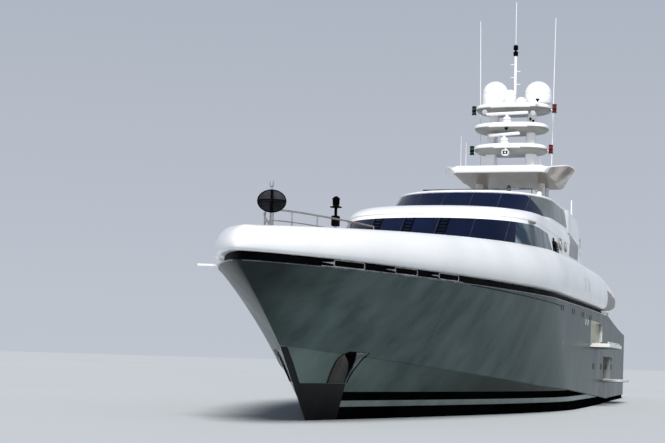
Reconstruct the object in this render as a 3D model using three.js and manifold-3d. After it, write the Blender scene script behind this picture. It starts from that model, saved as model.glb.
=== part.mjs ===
// Motor yacht at half scale, afloat: +X to the bow, +Y to port, +Z up, origin at the waterline amidships
import * as THREE from 'three';
import { mergeVertices } from 'three/addons/utils/BufferGeometryUtils.js';
import Module from 'manifold-3d';

const wasm = await Module();
wasm.setup();

// Every size below is in metres of the real yacht, and SCALE turns one into millimetres of the model
const SCALE = 500;
const GAP = 0.0006;          // 0.3 mm in the model, between pieces that touch
const CLEAR = 0.012;         // 6 mm in the model, round a piece that moves

// Driving lengths and heights above the waterline
const STEM_HEAD_X = 29.3;
const TRANSOM_X = -27.9;
const COLLAR_END_X = -16.4;
const RIM_AT_STEM = 4.57;
const RIM_SLOPE = 0.006;     // rise of the hull's rim for each metre aft, as far as RIM_BREAK_X
const RIM_BREAK_X = -15;
const RIM_AT_STERN = 4.1;
const BAND_HEIGHT = 0.26;
const MAIN_DECK = 3.0;
const UPPER_DECK = 5.6;
const DECK_THICK = 0.3;
const BRIDGE_TOP = 8.2;
const BOAT_DECK = 8.85;      // forward part, under the sky house
const BOAT_DECK_AFT = 8.45;
const SKY_TOP = 10.1;
const SKY_ROOF = 10.3;
const HARDTOP = 12.3;
const PLATFORM_Z = 0.5;

const COLOURS = {
  hullGrey: [0x8f9896, 0.25, 0.5],
  white: [0xf2f3f1, 0.25, 0],
  black: [0x111214, 0.4, 0],
  steel: [0xc9cccd, 0.2, 1],
  glass: [0x16233d, 0.08, 0],
  teak: [0xa98a5e, 0.7, 0],
  bronze: [0xa88a4c, 0.35, 1],
  red: [0xb01818, 0.3, 0],
};
const materials = {};
for (const [name, [color, roughness, metalness]] of Object.entries(COLOURS)) {
  materials[name] = new THREE.MeshStandardMaterial({ color, roughness, metalness });
}

const yacht = new THREE.Group();
const SIDES = [['port', 1], ['starboard', -1]];

// Closed solids, cuts and joins
function clean(geometry) {
  const bare = geometry.clone();
  for (const name of Object.keys(bare.attributes)) {
    if (name !== 'position') bare.deleteAttribute(name);
  }
  const merged = mergeVertices(bare, 1e-5);
  const index = [];
  for (let i = 0; i < merged.index.count; i += 3) {
    const [a, b, c] = [0, 1, 2].map((k) => merged.index.getX(i + k));
    if (a !== b && b !== c && c !== a) index.push(a, b, c);
  }
  merged.setIndex(index);
  return merged;
}

function solid(geometry) {
  const g = clean(geometry);
  const make = (triangles) => new wasm.Manifold(new wasm.Mesh({
    numProp: 3,
    vertProperties: new Float32Array(g.attributes.position.array),
    triVerts: new Uint32Array(triangles),
  }));
  const faces = Array.from(g.index.array);
  const made = make(faces);
  if (made.volume() > 0) return made;
  const flipped = [];
  for (let i = 0; i < faces.length; i += 3) flipped.push(faces[i], faces[i + 2], faces[i + 1]);
  return make(flipped);
}

function add(name, piece, material) {
  const made = piece.getMesh();
  const geometry = new THREE.BufferGeometry();
  geometry.setAttribute('position', new THREE.BufferAttribute(new Float32Array(made.vertProperties), 3));
  geometry.setIndex(new THREE.BufferAttribute(new Uint32Array(made.triVerts), 1));
  const mesh = new THREE.Mesh(geometry.scale(SCALE, SCALE, SCALE), materials[material]);
  mesh.name = name;
  yacht.add(mesh);
}

const join = (...parts) => parts.reduce((sum, part) => sum.add(part));
const cut = (whole, ...tools) => tools.reduce((left, tool) => left.subtract(tool), whole);
const inOrder = (a, b) => (a < b ? [a, b] : [b, a]);

function box(xa, xb, ya, yb, z0, z1) {
  const [x0, x1] = inOrder(xa, xb);
  const [y0, y1] = inOrder(ya, yb);
  const g = new THREE.BoxGeometry(x1 - x0, y1 - y0, z1 - z0);
  return solid(g.translate((x0 + x1) / 2, (y0 + y1) / 2, (z0 + z1) / 2));
}

// A round bar between two points
function bar(from, to, radius, sides = 10) {
  const a = new THREE.Vector3(...from);
  const b = new THREE.Vector3(...to);
  const along = b.clone().sub(a);
  const g = new THREE.CylinderGeometry(radius, radius, along.length(), sides);
  g.applyQuaternion(new THREE.Quaternion().setFromUnitVectors(
    new THREE.Vector3(0, 1, 0), along.clone().normalize()));
  return solid(g.translate(...a.add(b).multiplyScalar(0.5).toArray()));
}

// Triangles between rings of points, and across the first and the last ring
function ringIndex(rings, count) {
  const index = [];
  for (let s = 0; s + 1 < rings; s += 1) {
    for (let k = 0; k < count; k += 1) {
      const [a, b] = [s * count + k, s * count + ((k + 1) % count)];
      index.push(a, b, b + count, a, b + count, a + count);
    }
  }
  const last = (rings - 1) * count;
  for (let k = 1; k + 1 < count; k += 1) index.push(0, k + 1, k, last, last + k, last + k + 1);
  return index;
}
function fromRings(rings) {
  const g = new THREE.BufferGeometry();
  g.setAttribute('position', new THREE.Float32BufferAttribute(rings.flat(2), 3));
  g.setIndex(ringIndex(rings.length, rings[0].length));
  return solid(g);
}

// A round rail through a line of points that nowhere runs upright
function rail(points, radius, sides = 6) {
  const line = points.map((p) => new THREE.Vector3(...p));
  return fromRings(line.map((point, i) => {
    const along = line[Math.min(i + 1, line.length - 1)].clone().sub(line[Math.max(i - 1, 0)]).normalize();
    const across = new THREE.Vector3(0, 0, 1).cross(along).normalize();
    const up = along.clone().cross(across);
    return Array.from({ length: sides }, (_, k) => {
      const a = (2 * Math.PI * k) / sides;
      const [flat, high] = [radius * Math.cos(a), radius * Math.sin(a)];
      return point.clone().addScaledVector(across, flat).addScaledVector(up, high).toArray();
    });
  }));
}

// Prisms of an outline in plan, [x, y], and of one in profile, [x, z]
const outlineShape = (outline) => new THREE.Shape(outline.map(([u, v]) => new THREE.Vector2(u, v)));
function prism(outline, z0, z1) {
  const g = new THREE.ExtrudeGeometry(outlineShape(outline), { depth: z1 - z0, bevelEnabled: false });
  return solid(g.translate(0, 0, z0));
}
function sidePrism(outline, ya, yb) {
  const [y0, y1] = inOrder(ya, yb);
  const g = new THREE.ExtrudeGeometry(outlineShape(outline), { depth: y1 - y0, bevelEnabled: false });
  return solid(g.rotateX(Math.PI / 2).translate(0, y1, 0));
}

// A turned solid of [radius, z] points about a vertical line
function turned(profile, x, y, sides = 20) {
  const g = new THREE.LatheGeometry(profile.map(([r, z]) => new THREE.Vector2(r, z)), sides);
  return solid(g.rotateX(Math.PI / 2).translate(x, y, 0));
}
function ellipse(x, y, halfLength, halfWidth, count) {
  return Array.from({ length: count }, (_, i) => {
    const a = (2 * Math.PI * i) / count;
    return [x + halfLength * Math.cos(a), y + halfWidth * Math.sin(a)];
  });
}
const mirrored = (half) => [...half, ...half.filter(([, y]) => y > 0).reverse().map(([x, y]) => [x, -y])];

// Rows run from the bow (x0) to the stern (x1). A row reaches its half width after run metres, along a
// curve with powers p and q, and narrows from taperFrom to sternHalf at x1
const smooth = (v) => {
  const u = Math.min(Math.max(v, 0), 1);
  return u * u * (3 - 2 * u);
};
function rowHalf(row, x) {
  const reach = Math.min(Math.max((row.x0 - x) / row.run, 0), 1);
  const share = Math.pow(1 - Math.pow(1 - reach, row.p), row.q);
  const taper = smooth((row.taperFrom - x) / (row.taperFrom - row.x1));
  return share * (row.half - (row.half - row.sternHalf) * taper);
}
const rowZ = (row, x) => (typeof row.z === 'function' ? row.z(x) : row.z);

const STATIONS = [0, 0.006, 0.018, 0.036, 0.062, 0.1, 0.15, 0.21, 0.28, 0.36, 0.45, 0.55, 0.66, 0.77, 0.88, 1];

// A closed body symmetric about the centreline, from its rows in order round its port side; a row's shape
// moves its points
function body(rows, stations = STATIONS) {
  const position = [];
  const count = rows.length * 2;
  for (const t of stations) {
    const half = rows.map((row) => {
      const x = row.x0 + (row.x1 - row.x0) * t;
      const [y, z] = [t === 0 ? 0 : rowHalf(row, x), rowZ(row, x)];
      return [x, ...(row.shape ? row.shape(x, y, z) : [y, z])];
    });
    for (const [x, y, z] of half) position.push(x, y, z);
    for (const [x, y, z] of half.reverse()) position.push(x, -y, z);
  }
  const index = [];
  for (let s = 0; s + 1 < stations.length; s += 1) {
    for (let k = 0; k < count; k += 1) {
      const a = s * count + k;
      const b = s * count + ((k + 1) % count);
      index.push(a, b, b + count, a, b + count, a + count);
    }
  }
  const last = (stations.length - 1) * count;
  for (let k = 0; k + 1 < rows.length; k += 1) {
    const [port0, port1, other0, other1] = [last + k, last + k + 1, last + count - 1 - k, last + count - 2 - k];
    index.push(port0, port1, other1, port0, other1, other0);
  }
  const g = new THREE.BufferGeometry();
  g.setAttribute('position', new THREE.Float32BufferAttribute(position, 3));
  g.setIndex(index);
  return solid(g);
}

// Hull rows
const RIM_AT_BREAK = RIM_AT_STEM + RIM_SLOPE * (STEM_HEAD_X - RIM_BREAK_X);
const rimZ = (x) => (x >= RIM_BREAK_X
  ? RIM_AT_STEM + RIM_SLOPE * (STEM_HEAD_X - x)
  : THREE.MathUtils.mapLinear(x, RIM_BREAK_X, TRANSOM_X, RIM_AT_BREAK, RIM_AT_STERN));
const bandTop = (x) => rimZ(x) + BAND_HEIGHT;
const KNUCKLE_BEND = { x: 8.3, z: 1.135, fore: 0.0695, aft: 0.0398, least: 0.25 };
const knuckleZ = (x) => Math.max(KNUCKLE_BEND.least,
  KNUCKLE_BEND.z + (x - KNUCKLE_BEND.x) * (x > KNUCKLE_BEND.x ? KNUCKLE_BEND.fore : KNUCKLE_BEND.aft));
const riseAft = (deep, high, from) => (x) => deep + (high - deep) * smooth((from - x) / (from + 27));
const RIM = {
  x0: STEM_HEAD_X, x1: TRANSOM_X, run: 21.3, half: 5.73, p: 1.44, q: 0.73, taperFrom: -4, sternHalf: 5.2,
};
const KNUCKLE = { x0: 25.6, x1: -27.7, run: 22, half: 5.66, p: 1.6, q: 1.05, taperFrom: -4, sternHalf: 5.15 };
const LEDGE = 0.08;          // how far the hull steps in under its knuckle
function flareRow(share) {
  const row = {};
  for (const key of Object.keys(RIM)) row[key] = KNUCKLE[key] + (RIM[key] - KNUCKLE[key]) * share;
  row.z = (x) => knuckleZ(x) + (rimZ(x) - knuckleZ(x)) * share;
  return row;
}
const keelRow = { x0: 16.5, x1: -26.4, run: 8, half: 0.35, p: 2, q: 1, sternHalf: 0.35, z: riseAft(-3.2, -0.7, -4) };
const bilgeRow = {
  x0: 20.6, x1: -27, run: 24, half: 4.4, p: 1.8, q: 1.35, sternHalf: 4.3, z: riseAft(-2.4, -0.58, -4),
};
const turnRow = {
  x0: 22.1, x1: -27.3, run: 22, half: 5.35, p: 1.5, q: 1.15, sternHalf: 5, z: riseAft(-1.3, -0.33, -4),
};
const waterRow = { x0: 22.9, x1: -27.6, run: 22, half: 5.61, p: 1.45, q: 1.05, sternHalf: 5.1, z: 0 };
const HULL_ROWS = [
  ...[keelRow, bilgeRow, turnRow, waterRow].map((row) => ({ taperFrom: -4, ...row })),
  { ...KNUCKLE, half: KNUCKLE.half - LEDGE, sternHalf: KNUCKLE.sternHalf - LEDGE, x0: KNUCKLE.x0 - LEDGE,
    z: (x) => knuckleZ(x) - 0.02 },
  { ...KNUCKLE, z: knuckleZ },
  flareRow(0.3),
  flareRow(0.65),
  { ...RIM, z: rimZ },
];
const RIM_KNOT = (STEM_HEAD_X - RIM_BREAK_X) / (STEM_HEAD_X - TRANSOM_X);
const HULL_STATIONS = [...STATIONS.filter((t) => t !== 0.77), RIM_KNOT].sort((a, b) => a - b);
const hullBody = (inset) => body(HULL_ROWS.map((row) => ({
  ...row, x0: row.x0 - inset, half: row.half - inset, sternHalf: row.sternHalf - inset,
})), HULL_STATIONS);

// Fold-out panels in the port side: the hinge runs along X, and the panel reaches out from it
const PANEL = { root: 0.07, half: 0.05 };
const FOLD_OUTS = {
  balcony: { x0: -10.6, x1: -4.4, hingeY: 5.4, hingeZ: 3, reach: 1.25 },
  side_platform: { x0: -16.8, x1: -11.6, hingeY: 5.2, hingeZ: 1.25, reach: 1.3 },
};
const recess = ({ x0, x1, hingeY, hingeZ, reach }) => box(
  x0 - CLEAR, x1 + CLEAR, hingeY - 0.35, 7, hingeZ - PANEL.root - GAP, hingeZ + reach + CLEAR);
const foldOut = ({ x0, x1, hingeY, hingeZ, reach }) => join(
  bar([x0, hingeY, hingeZ], [x1, hingeY, hingeZ], PANEL.root, 12),
  box(x0, x1, hingeY, hingeY + reach, hingeZ - PANEL.half, hingeZ + PANEL.half),
);

// Underwater gear: the shafts run aft and down from the hull to the propellers
const SHAFT = { y: 2.4, x0: -12.5, z0: -2.0, x1: -24.3, z1: -2.5, radius: 0.1, barrel: 0.19 };
const PROPELLER = { x: -24.3, radius: 1, hub: 0.23, blades: 5 };
const RUDDER = { x: -25.9, y: 2.4, top: -0.95, bottom: -3.05, stock: 0.13, boss: 0.3 };
const shaftAt = (x, side) => [x, side * SHAFT.y,
  THREE.MathUtils.mapLinear(x, SHAFT.x0, SHAFT.x1, SHAFT.z0, SHAFT.z1)];
const shaftBore = (side) => bar(shaftAt(-13.9, side), shaftAt(-26, side), SHAFT.radius + 0.004, 14);
const FIN = { x: -1.5, y: 5.0, z: -1.95, lean: THREE.MathUtils.degToRad(40), root: 0.2, boss: 0.32 };
function finBar(side, from, to, radius) {
  const at = (d) => [FIN.x, side * (FIN.y + Math.cos(FIN.lean) * d), FIN.z - Math.sin(FIN.lean) * d];
  return bar(at(from), at(to), radius, 14);
}

const COCKPIT = { x0: -26.5, x1: -18, half: 4.55 };
const TRANSOM_DOOR = { half: 0.7, x: -27.25, thick: 0.1, top: 4.05, pin: 0.07 };

// Anchor pockets under the knuckle, one on each side, as outlines in profile
const POCKET = {
  floor: 0.3,
  outline: [
    [22.65, 1.2], [22.72, 1.6], [22.7, 1.9], [22.55, 2.09], [22.35, 2.2], [21.6, 2.2], [21.45, 2.05],
    [21.66, 1.6], [21.7, 1.2],
  ],
};
// Stainless plates wrap the stem under the knuckle
const PLATE = {
  thick: 0.03,
  outline: [
    [26.5, 2.27], [25.16, 2.27], [24.53, 1.75], [23.9, 1.18], [21.68, 1.18], [21.46, 0.54], [21.1, -0.5],
    [23, -0.5], [26.5, 0.6],
  ],
};
// An outline moved outwards; its points run anticlockwise
function grown(outline, by) {
  const away = ([ax, az], [bx, bz]) => {
    const length = Math.hypot(bx - ax, bz - az);
    return [(bz - az) / length, (ax - bx) / length];
  };
  return outline.map((point, i) => {
    const before = outline[(i + outline.length - 1) % outline.length];
    const after = outline[(i + 1) % outline.length];
    const [n0, n1] = [away(before, point), away(point, after)];
    const share = by / (1 + n0[0] * n1[0] + n0[1] * n1[1]);
    return [point[0] + (n0[0] + n1[0]) * share, point[1] + (n0[1] + n1[1]) * share];
  });
}
const plateZone = (by) => sidePrism(grown(PLATE.outline, by), -4, 4);

function hull() {
  let h = hullBody(0);
  for (const [, side] of SIDES) {
    h = join(h, bar(shaftAt(-12.4, side), shaftAt(-14.9, side), SHAFT.barrel, 14));
    const [x, y] = [RUDDER.x, side * RUDDER.y];
    h = join(h, bar([x, y, RUDDER.top + 0.1 + GAP], [x, y, -0.3], RUDDER.boss, 14));
    h = join(h, finBar(side, -0.8, -GAP, FIN.boss));
    h = cut(h, shaftBore(side));
    h = cut(h, sidePrism(POCKET.outline, side * POCKET.floor, side * 3));
  }
  h = cut(h, box(COCKPIT.x0, COCKPIT.x1, -COCKPIT.half, COCKPIT.half, MAIN_DECK, 8));
  h = cut(h, ...Object.values(FOLD_OUTS).map(recess));
  h = cut(h, box(-29, COCKPIT.x0 + 0.1, -TRANSOM_DOOR.half - CLEAR, TRANSOM_DOOR.half + CLEAR, MAIN_DECK, 8));
  return h;
}
const wholeHull = hull();
add('hull', cut(wholeHull, cut(plateZone(GAP), hullBody(PLATE.thick + GAP))), 'hullGrey');
add('stem_plate', cut(wholeHull.intersect(plateZone(0)), hullBody(PLATE.thick)), 'steel');
const ANCHOR = [[22.63, 1.3], [22.68, 1.6], [22.66, 1.88], [22.5, 2.05], [22.3, 2.12], [22.05, 2.1], [21.95, 1.3]];
for (const [name, side] of SIDES) {
  const [face, depth] = [side * (POCKET.floor + GAP), side * (POCKET.floor + 0.14)];
  add(`anchor_${name}`, join(sidePrism(ANCHOR, face, depth), box(21.8, 22.1, face, depth, 1.35, 1.5)), 'steel');
}

// Mooring band on the rim, with the rails of the fairleads standing in it
const BAND_END_X = -12.6;
const bandRow = (z) => ({
  ...RIM, x0: RIM.x0 - 0.3, x1: BAND_END_X, half: RIM.half - 0.22, taperFrom: 0, sternHalf: RIM.half - 0.4, z,
});
add('mooring_band', body([bandRow((x) => rimZ(x) + GAP), bandRow(bandTop)]), 'black');

// A point on the rim and the outward direction there
function rimFrame(x, side, out = 0) {
  const slope = (rowHalf(RIM, x + 0.05) - rowHalf(RIM, x - 0.05)) / 0.1;
  const length = Math.hypot(1, slope);
  const [nx, ny] = [-slope / length, 1 / length];
  return { x: x + nx * out, y: side * (rowHalf(RIM, x) + ny * out), nx, ny: side * ny };
}

const FAIRLEADS = { posts: [26.1, 24.7, 23.1, 21.8, 20.4, 19.0], out: -0.09, radius: 0.035, ends: [18.6, 26.6, 24.4] };
const FAIRLEAD_LIFT = FAIRLEADS.radius * Math.sin(Math.PI / 3) + GAP;
function fairleads(side) {
  const at = (x, lift) => {
    const { x: px, y } = rimFrame(x, side, FAIRLEADS.out);
    return [px, y, rimZ(px) + lift];
  };
  const [aft, portEnd, starboardEnd] = FAIRLEADS.ends;
  const fore = side > 0 ? portEnd : starboardEnd;
  const count = 8;
  const line = Array.from({ length: count + 1 }, (_, i) => at(aft + ((fore - aft) * i) / count, FAIRLEAD_LIFT));
  const posts = FAIRLEADS.posts.filter((x) => x < fore)
    .map((x) => bar(at(x, FAIRLEAD_LIFT), at(x, BAND_HEIGHT - 0.02), 0.04, 6));
  return join(rail(line, FAIRLEADS.radius), ...posts);
}
for (const [name, side] of SIDES) add(`fairleads_${name}`, fairleads(side), 'steel');

// White bulwark collar: a rounded section outside and a straight well inside. Its two arms close to
// rounded tips aft, and its bow end leans back
const COLLAR = { bow: 5.6, aft: 6.88 };
const collarTop = (x) => {
  const rise = 1 - Math.pow(1 - Math.min(Math.max((28.5 - x) / 30.5, 0), 1), 1.8);
  return COLLAR.bow + (COLLAR.aft - COLLAR.bow) * rise;
};
const COLLAR_TIP = { y: 5.62, z: 5.68, from: { above: -8.8, below: -12.5, inward: -13.8 }, least: 0.03 };
function tipShare(x, from) {
  const u = Math.min(Math.max((from - x) / (from - COLLAR_END_X), 0), 1);
  return Math.max(COLLAR_TIP.least, Math.sqrt(1 - u * u));
}
function closeCollar(x, y, z) {
  const { from } = COLLAR_TIP;
  const lift = (z - COLLAR_TIP.z) * tipShare(x, z > COLLAR_TIP.z ? from.above : from.below);
  return [Math.min(y, COLLAR_TIP.y + (y - COLLAR_TIP.y) * tipShare(x, from.inward)), COLLAR_TIP.z + lift];
}
// out, fore: how far the row stands from the rim at the side and at the bow; share: its height between the
// band and the collar's top
const COLLAR_SECTION = [
  { out: 0, fore: 0, share: 0 },
  { out: 0.17, fore: 0.12, share: 0.08 },
  { out: 0.24, fore: 0.14, share: 0.3 },
  { out: 0.2, fore: 0.05, share: 0.55 },
  { out: 0.06, fore: -0.16, share: 0.8 },
  { out: -0.16, fore: -0.42, share: 0.95 },
  { out: -0.35, fore: -0.68, share: 1 },
];
const collarRow = ({ out, fore, share }) => ({
  ...RIM, x0: RIM.x0 + fore, x1: COLLAR_END_X, half: RIM.half + out, taperFrom: -6, sternHalf: RIM.half + out - 0.1,
  z: (x) => bandTop(x) + GAP + (collarTop(x) - bandTop(x)) * share, shape: closeCollar,
});
const wellRow = (z, inset = 0) => ({
  ...RIM, x0: RIM.x0 - 1.2 - inset, x1: COLLAR_END_X - 2, half: RIM.half - 0.55 - inset, taperFrom: 0,
  sternHalf: RIM.half - 0.65 - inset, z,
});
const COLLAR_STATIONS = [...STATIONS.slice(0, -3), 0.74, 0.8, 0.85, 0.9, 0.935, 0.96, 0.98, 0.992, 0.998, 1];

// Mooring flap in the starboard side: hinged on the rim, folded out flat, it closes a gap in the collar
const FLAP = { x: 25.4, half: 0.65, reach: 0.66, root: 0.045, thick: 0.06, out: -0.05 };
FLAP.at = rimFrame(FLAP.x, -1, FLAP.out);
FLAP.z = rimZ(FLAP.x - FLAP.half) + FLAP.root + GAP;
function atFlap(geometry) {
  const turn = Math.atan2(FLAP.at.ny, FLAP.at.nx) - Math.PI / 2;
  return solid(geometry.rotateZ(turn).translate(FLAP.at.x, FLAP.at.y, FLAP.z));
}
const flapBox = (half, out0, out1, z0, z1) => atFlap(
  new THREE.BoxGeometry(2 * half, out1 - out0, z1 - z0).translate(0, (out0 + out1) / 2, (z0 + z1) / 2));
add('mooring_flap', join(
  atFlap(new THREE.CylinderGeometry(FLAP.root, FLAP.root, 2 * FLAP.half, 12).rotateZ(Math.PI / 2)),
  flapBox(FLAP.half, 0, FLAP.reach, -FLAP.thick / 2, FLAP.thick / 2),
), 'white');
const flapGap = flapBox(FLAP.half + CLEAR, -0.12, 1, 0, FLAP.reach + CLEAR);
add('collar', cut(body(COLLAR_SECTION.map(collarRow), COLLAR_STATIONS), body([wellRow(3), wellRow(9)]), flapGap), 'white');

const BOAT_STATIONS = [0, 0.006, 0.018, 0.036, 0.062, 0.1, 0.15, 0.21, 0.45, 0.678, 0.73, 0.78, 0.84, 0.9, 0.96, 1];

// Upper deck: it fills the collar's well and runs on aft over the cockpit, on two posts
const DECK_FILL_X = -14.8;
const deckRow = (z) => ({ ...wellRow(z, 0.05), x1: DECK_FILL_X, sternHalf: RIM.half - 0.75 });
const DECK_AFT = [[DECK_FILL_X + 0.2, 5.0], [-21.5, 4.95], [-23.4, 4.3], [-24, 3]];
const aftPlan = mirrored([...DECK_AFT]);
const CORNER_POST = { x: -22, y: 4.72, radius: 0.09 };
add('upper_deck', join(
  body([deckRow((x) => bandTop(x) + GAP), deckRow(UPPER_DECK)]),
  prism(aftPlan, UPPER_DECK - DECK_THICK, UPPER_DECK),
  ...SIDES.map(([, side]) => bar(
    [CORNER_POST.x, side * CORNER_POST.y, rimZ(CORNER_POST.x + CORNER_POST.radius) + 0.002],
    [CORNER_POST.x, side * CORNER_POST.y, UPPER_DECK - 0.1], CORNER_POST.radius, 10)),
), 'white');

// Superstructure tiers: each is a shell that stands on its deck, with its windows cut
const FRONT = { p: 2.4, q: 0.42, taperFrom: -6 };
const WALL = 0.14;
const TIERS = {
  bridge: {
    rows: [
      { x0: 10.3, run: 4.7, half: 4.62, z: () => UPPER_DECK + GAP },
      { x0: 9.2, run: 4.7, half: 4.43, z: () => 7 },
      { x0: 7.9, run: 4.7, half: 4.29, z: () => 8.05 },
      { x0: 7.8, run: 4.7, half: 4.27, z: () => BRIDGE_TOP },
    ],
    stern: -11, low: 7.05, high: 8.02,
    // y limits of the front panes on one side, then the side panes in profile
    front: [0.75, 2.2, 3.5], frontFrom: 3.9,
    side: [
      [[-0.15, 7.18], [0.9, 8.02], [3.75, 8.02], [3.75, 7.05]],
      [[-10.1, 7.68], [-10.35, 8.02], [-6.4, 8.02], [-6.85, 7.64]],
    ],
  },
  sky: {
    rows: [
      { x0: 2.3, run: 4.6, half: 4.05, z: () => BOAT_DECK + GAP },
      { x0: 2.1, run: 4.6, half: 4.02, z: () => 8.96 },
      { x0: 0.4, run: 4.6, half: 3.87, z: () => 10 },
      { x0: 0.3, run: 4.6, half: 3.85, z: () => SKY_TOP },
    ],
    stern: -8.6, low: 9, high: 9.96,
    front: [0.67, 1.95, 3.15], frontFrom: -1.3,
    side: [
      [[-4.9, 9.18], [-4.9, 9.96], [-1.5, 9.96], [-1.5, 9.12]],
      [[-7.9, 9.22], [-8, 9.96], [-5.1, 9.96], [-5.1, 9.18]],
    ],
  },
};
const tierRow = (row, stern, inset, z = row.z) => ({
  ...FRONT, ...row, z, x0: row.x0 - inset * 1.6, x1: stern, half: row.half - inset, sternHalf: row.half - inset,
});
const FLOOR_CUT = 0.5;       // how far the inner space runs on under the floor, so that the cut is clean
function tierInside({ rows, stern }, inset, roof) {
  const share = FLOOR_CUT / (rows[1].z() - rows[0].z());
  const under = {
    ...rows[0],
    x0: rows[0].x0 + (rows[0].x0 - rows[1].x0) * share,
    half: rows[0].half + (rows[0].half - rows[1].half) * share,
  };
  return body([
    tierRow(under, stern + WALL, inset, rows[0].z() - FLOOR_CUT),
    tierRow(rows[1], stern + WALL, inset),
    tierRow(rows[2], stern + WALL, inset, roof),
  ]);
}
function tier(spec) {
  const { rows, low, high, front, frontFrom, side, stern } = spec;
  const roof = rows[3].z() - WALL + 0.02;
  let shell = cut(body(rows.map((row) => tierRow(row, stern, 0))), tierInside(spec, WALL, roof));
  const mullion = 0.06;
  front.forEach((outer, i) => {
    const inner = i === 0 ? -outer : front[i - 1];
    const pane = (a, b) => box(frontFrom, 14, a + mullion, b - mullion, low, high);
    shell = cut(shell, pane(inner, outer));
    if (i > 0) shell = cut(shell, pane(-outer, -inner));
  });
  for (const pane of side) shell = cut(shell, sidePrism(pane, -6, 6));
  return shell;
}
// Glass stands on the inner face of the walls; what is cut from inside it runs on above it, so that no
// film is left under the roof
function glassSkin(spec) {
  const roof = spec.rows[3].z() - WALL + 0.02 - GAP;
  return cut(tierInside(spec, WALL + 0.0018, roof), tierInside(spec, WALL + 0.045, roof + 0.1));
}
const tierGlass = (spec, aftEnd) => glassSkin(spec).intersect(
  box(aftEnd, 20, -8, 8, spec.low - 0.05, spec.high + 0.02));

// Side doors of the bridge house: each leaf hangs from a track on the inner face of the leaning wall, and
// slides aft along it
const SIDE_DOOR = { x0: -1.65, x1: -0.3, z0: 5.8, z1: 7.84, lap: 0.08, thick: 0.06, slide: 1.3 };
const TRACK = { low: 0.04, high: 0.1, depth: 0.1 };
const [footRow, , headRow] = TIERS.bridge.rows;
const WALL_LEAN = Math.atan2(footRow.half - headRow.half, headRow.z() - footRow.z());
const wallAt = (z) => footRow.half - (z - footRow.z()) * Math.tan(WALL_LEAN);
function wallBox(side, x0, x1, from, to, low, high) {
  const g = new THREE.BoxGeometry(x1 - x0, to - from, high - low);
  g.translate((x0 + x1) / 2, (from + to) / 2, (low + high) / 2);
  g.rotateX(WALL_LEAN).translate(0, wallAt(SIDE_DOOR.z0), SIDE_DOOR.z0);
  return solid(side < 0 ? g.scale(1, -1, 1) : g);
}
const doorHeight = (SIDE_DOOR.z1 - SIDE_DOOR.z0) / Math.cos(WALL_LEAN);
const innerFace = -WALL * Math.cos(WALL_LEAN);
const doorHole = (side) => wallBox(side, SIDE_DOOR.x0, SIDE_DOOR.x1, -0.5, 0.5, 0, doorHeight);
const doorTrack = (side) => wallBox(side, SIDE_DOOR.x0 - SIDE_DOOR.lap - SIDE_DOOR.slide, SIDE_DOOR.x1 + SIDE_DOOR.lap,
  innerFace - TRACK.depth, innerFace + 0.02, doorHeight + TRACK.low, doorHeight + TRACK.high);
function doorLeaf(side) {
  const { x0, x1, lap, thick } = SIDE_DOOR;
  const [inner, outer] = [innerFace - CLEAR - thick, innerFace - CLEAR];
  const top = doorHeight + TRACK.low - CLEAR;
  const hangers = [x0 + 0.15, x1 - 0.15].map((x) => wallBox(side, x - 0.06, x + 0.06, inner, outer, top - 0.05,
    doorHeight + TRACK.low - GAP));
  return join(wallBox(side, x0 - lap, x1 + lap, inner, outer, -lap, top), ...hangers);
}
const BRIDGE_GLASS_END = -0.2;
add('bridge_house', join(
  cut(tier(TIERS.bridge), ...SIDES.map(([, side]) => doorHole(side))),
  ...SIDES.map(([, side]) => doorTrack(side)),
), 'white');
add('bridge_glass', tierGlass(TIERS.bridge, BRIDGE_GLASS_END), 'glass');
const aftPane = glassSkin(TIERS.bridge).intersect(box(-10.6, -6.15, -8, 8, 7.55, TIERS.bridge.high + 0.02));
for (const [name, side] of SIDES) {
  add(`side_door_${name}`, doorLeaf(side), 'glass');
  add(`aft_window_${name}`, aftPane.intersect(box(-20, 0, side, side * 8, 0, 20)), 'glass');
}
// The sky house's sides run on aft as two plates with rounded ends
const AFT_PLATE_Y = [3.87, 4.02];
const AFT_PLATE = [
  [-8.4, 8.85 + GAP], [-11.01, 8.85 + GAP], [-11.01, 8.45 + GAP], [-13.12, 8.45 + GAP], [-13.2, 8.6], [-13.16, 8.85],
  [-13.06, 9.1], [-12.9, 9.38], [-12.6, 9.63], [-12.1, 9.83], [-11.4, 9.98], [-10, 10.1], [-8.72, 10.16], [-8.72, 9.6],
  [-8.4, 9.6],
];
add('sky_house', join(
  tier(TIERS.sky),
  ...SIDES.map(([, side]) => sidePrism(AFT_PLATE, ...AFT_PLATE_Y.map((y) => side * y))),
), 'white');
add('sky_glass', tierGlass(TIERS.sky, -8.4), 'glass');

// Boat deck, with the sloping white hood over the bridge windows, and the sky roof
const slabRow = (row, x0, half, stern, z) => ({ ...tierRow(row, stern, 0, z), x0, half, sternHalf: half });
const bridgeTopRow = TIERS.bridge.rows[3];
const BOAT_STERN = -20;
const BOAT_STEP_X = -11;
const boatRow = (x0, half, z) => ({
  ...slabRow(bridgeTopRow, x0, half, BOAT_STERN, z), taperFrom: -11, sternHalf: half - 1.15,
});
const boatPosts = SIDES.map(([, side]) => bar(
  [-19.2, side * 2.9, UPPER_DECK + GAP], [-19.2, side * 2.9, BRIDGE_TOP + 0.1], 0.08, 10));
add('boat_deck', join(
  cut(body([
    boatRow(7.8, 4.27, BRIDGE_TOP + GAP),
    boatRow(7.78, 4.27, BRIDGE_TOP + 0.1),
    boatRow(7.45, 4.22, 8.5),
    boatRow(6.6, 4.16, 8.72),
    boatRow(4.6, 4.1, BOAT_DECK),
  ], BOAT_STATIONS), box(-22, BOAT_STEP_X, -6, 6, BOAT_DECK_AFT, 10)),
  ...boatPosts,
), 'white');
const skyTopRow = TIERS.sky.rows[3];
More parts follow.
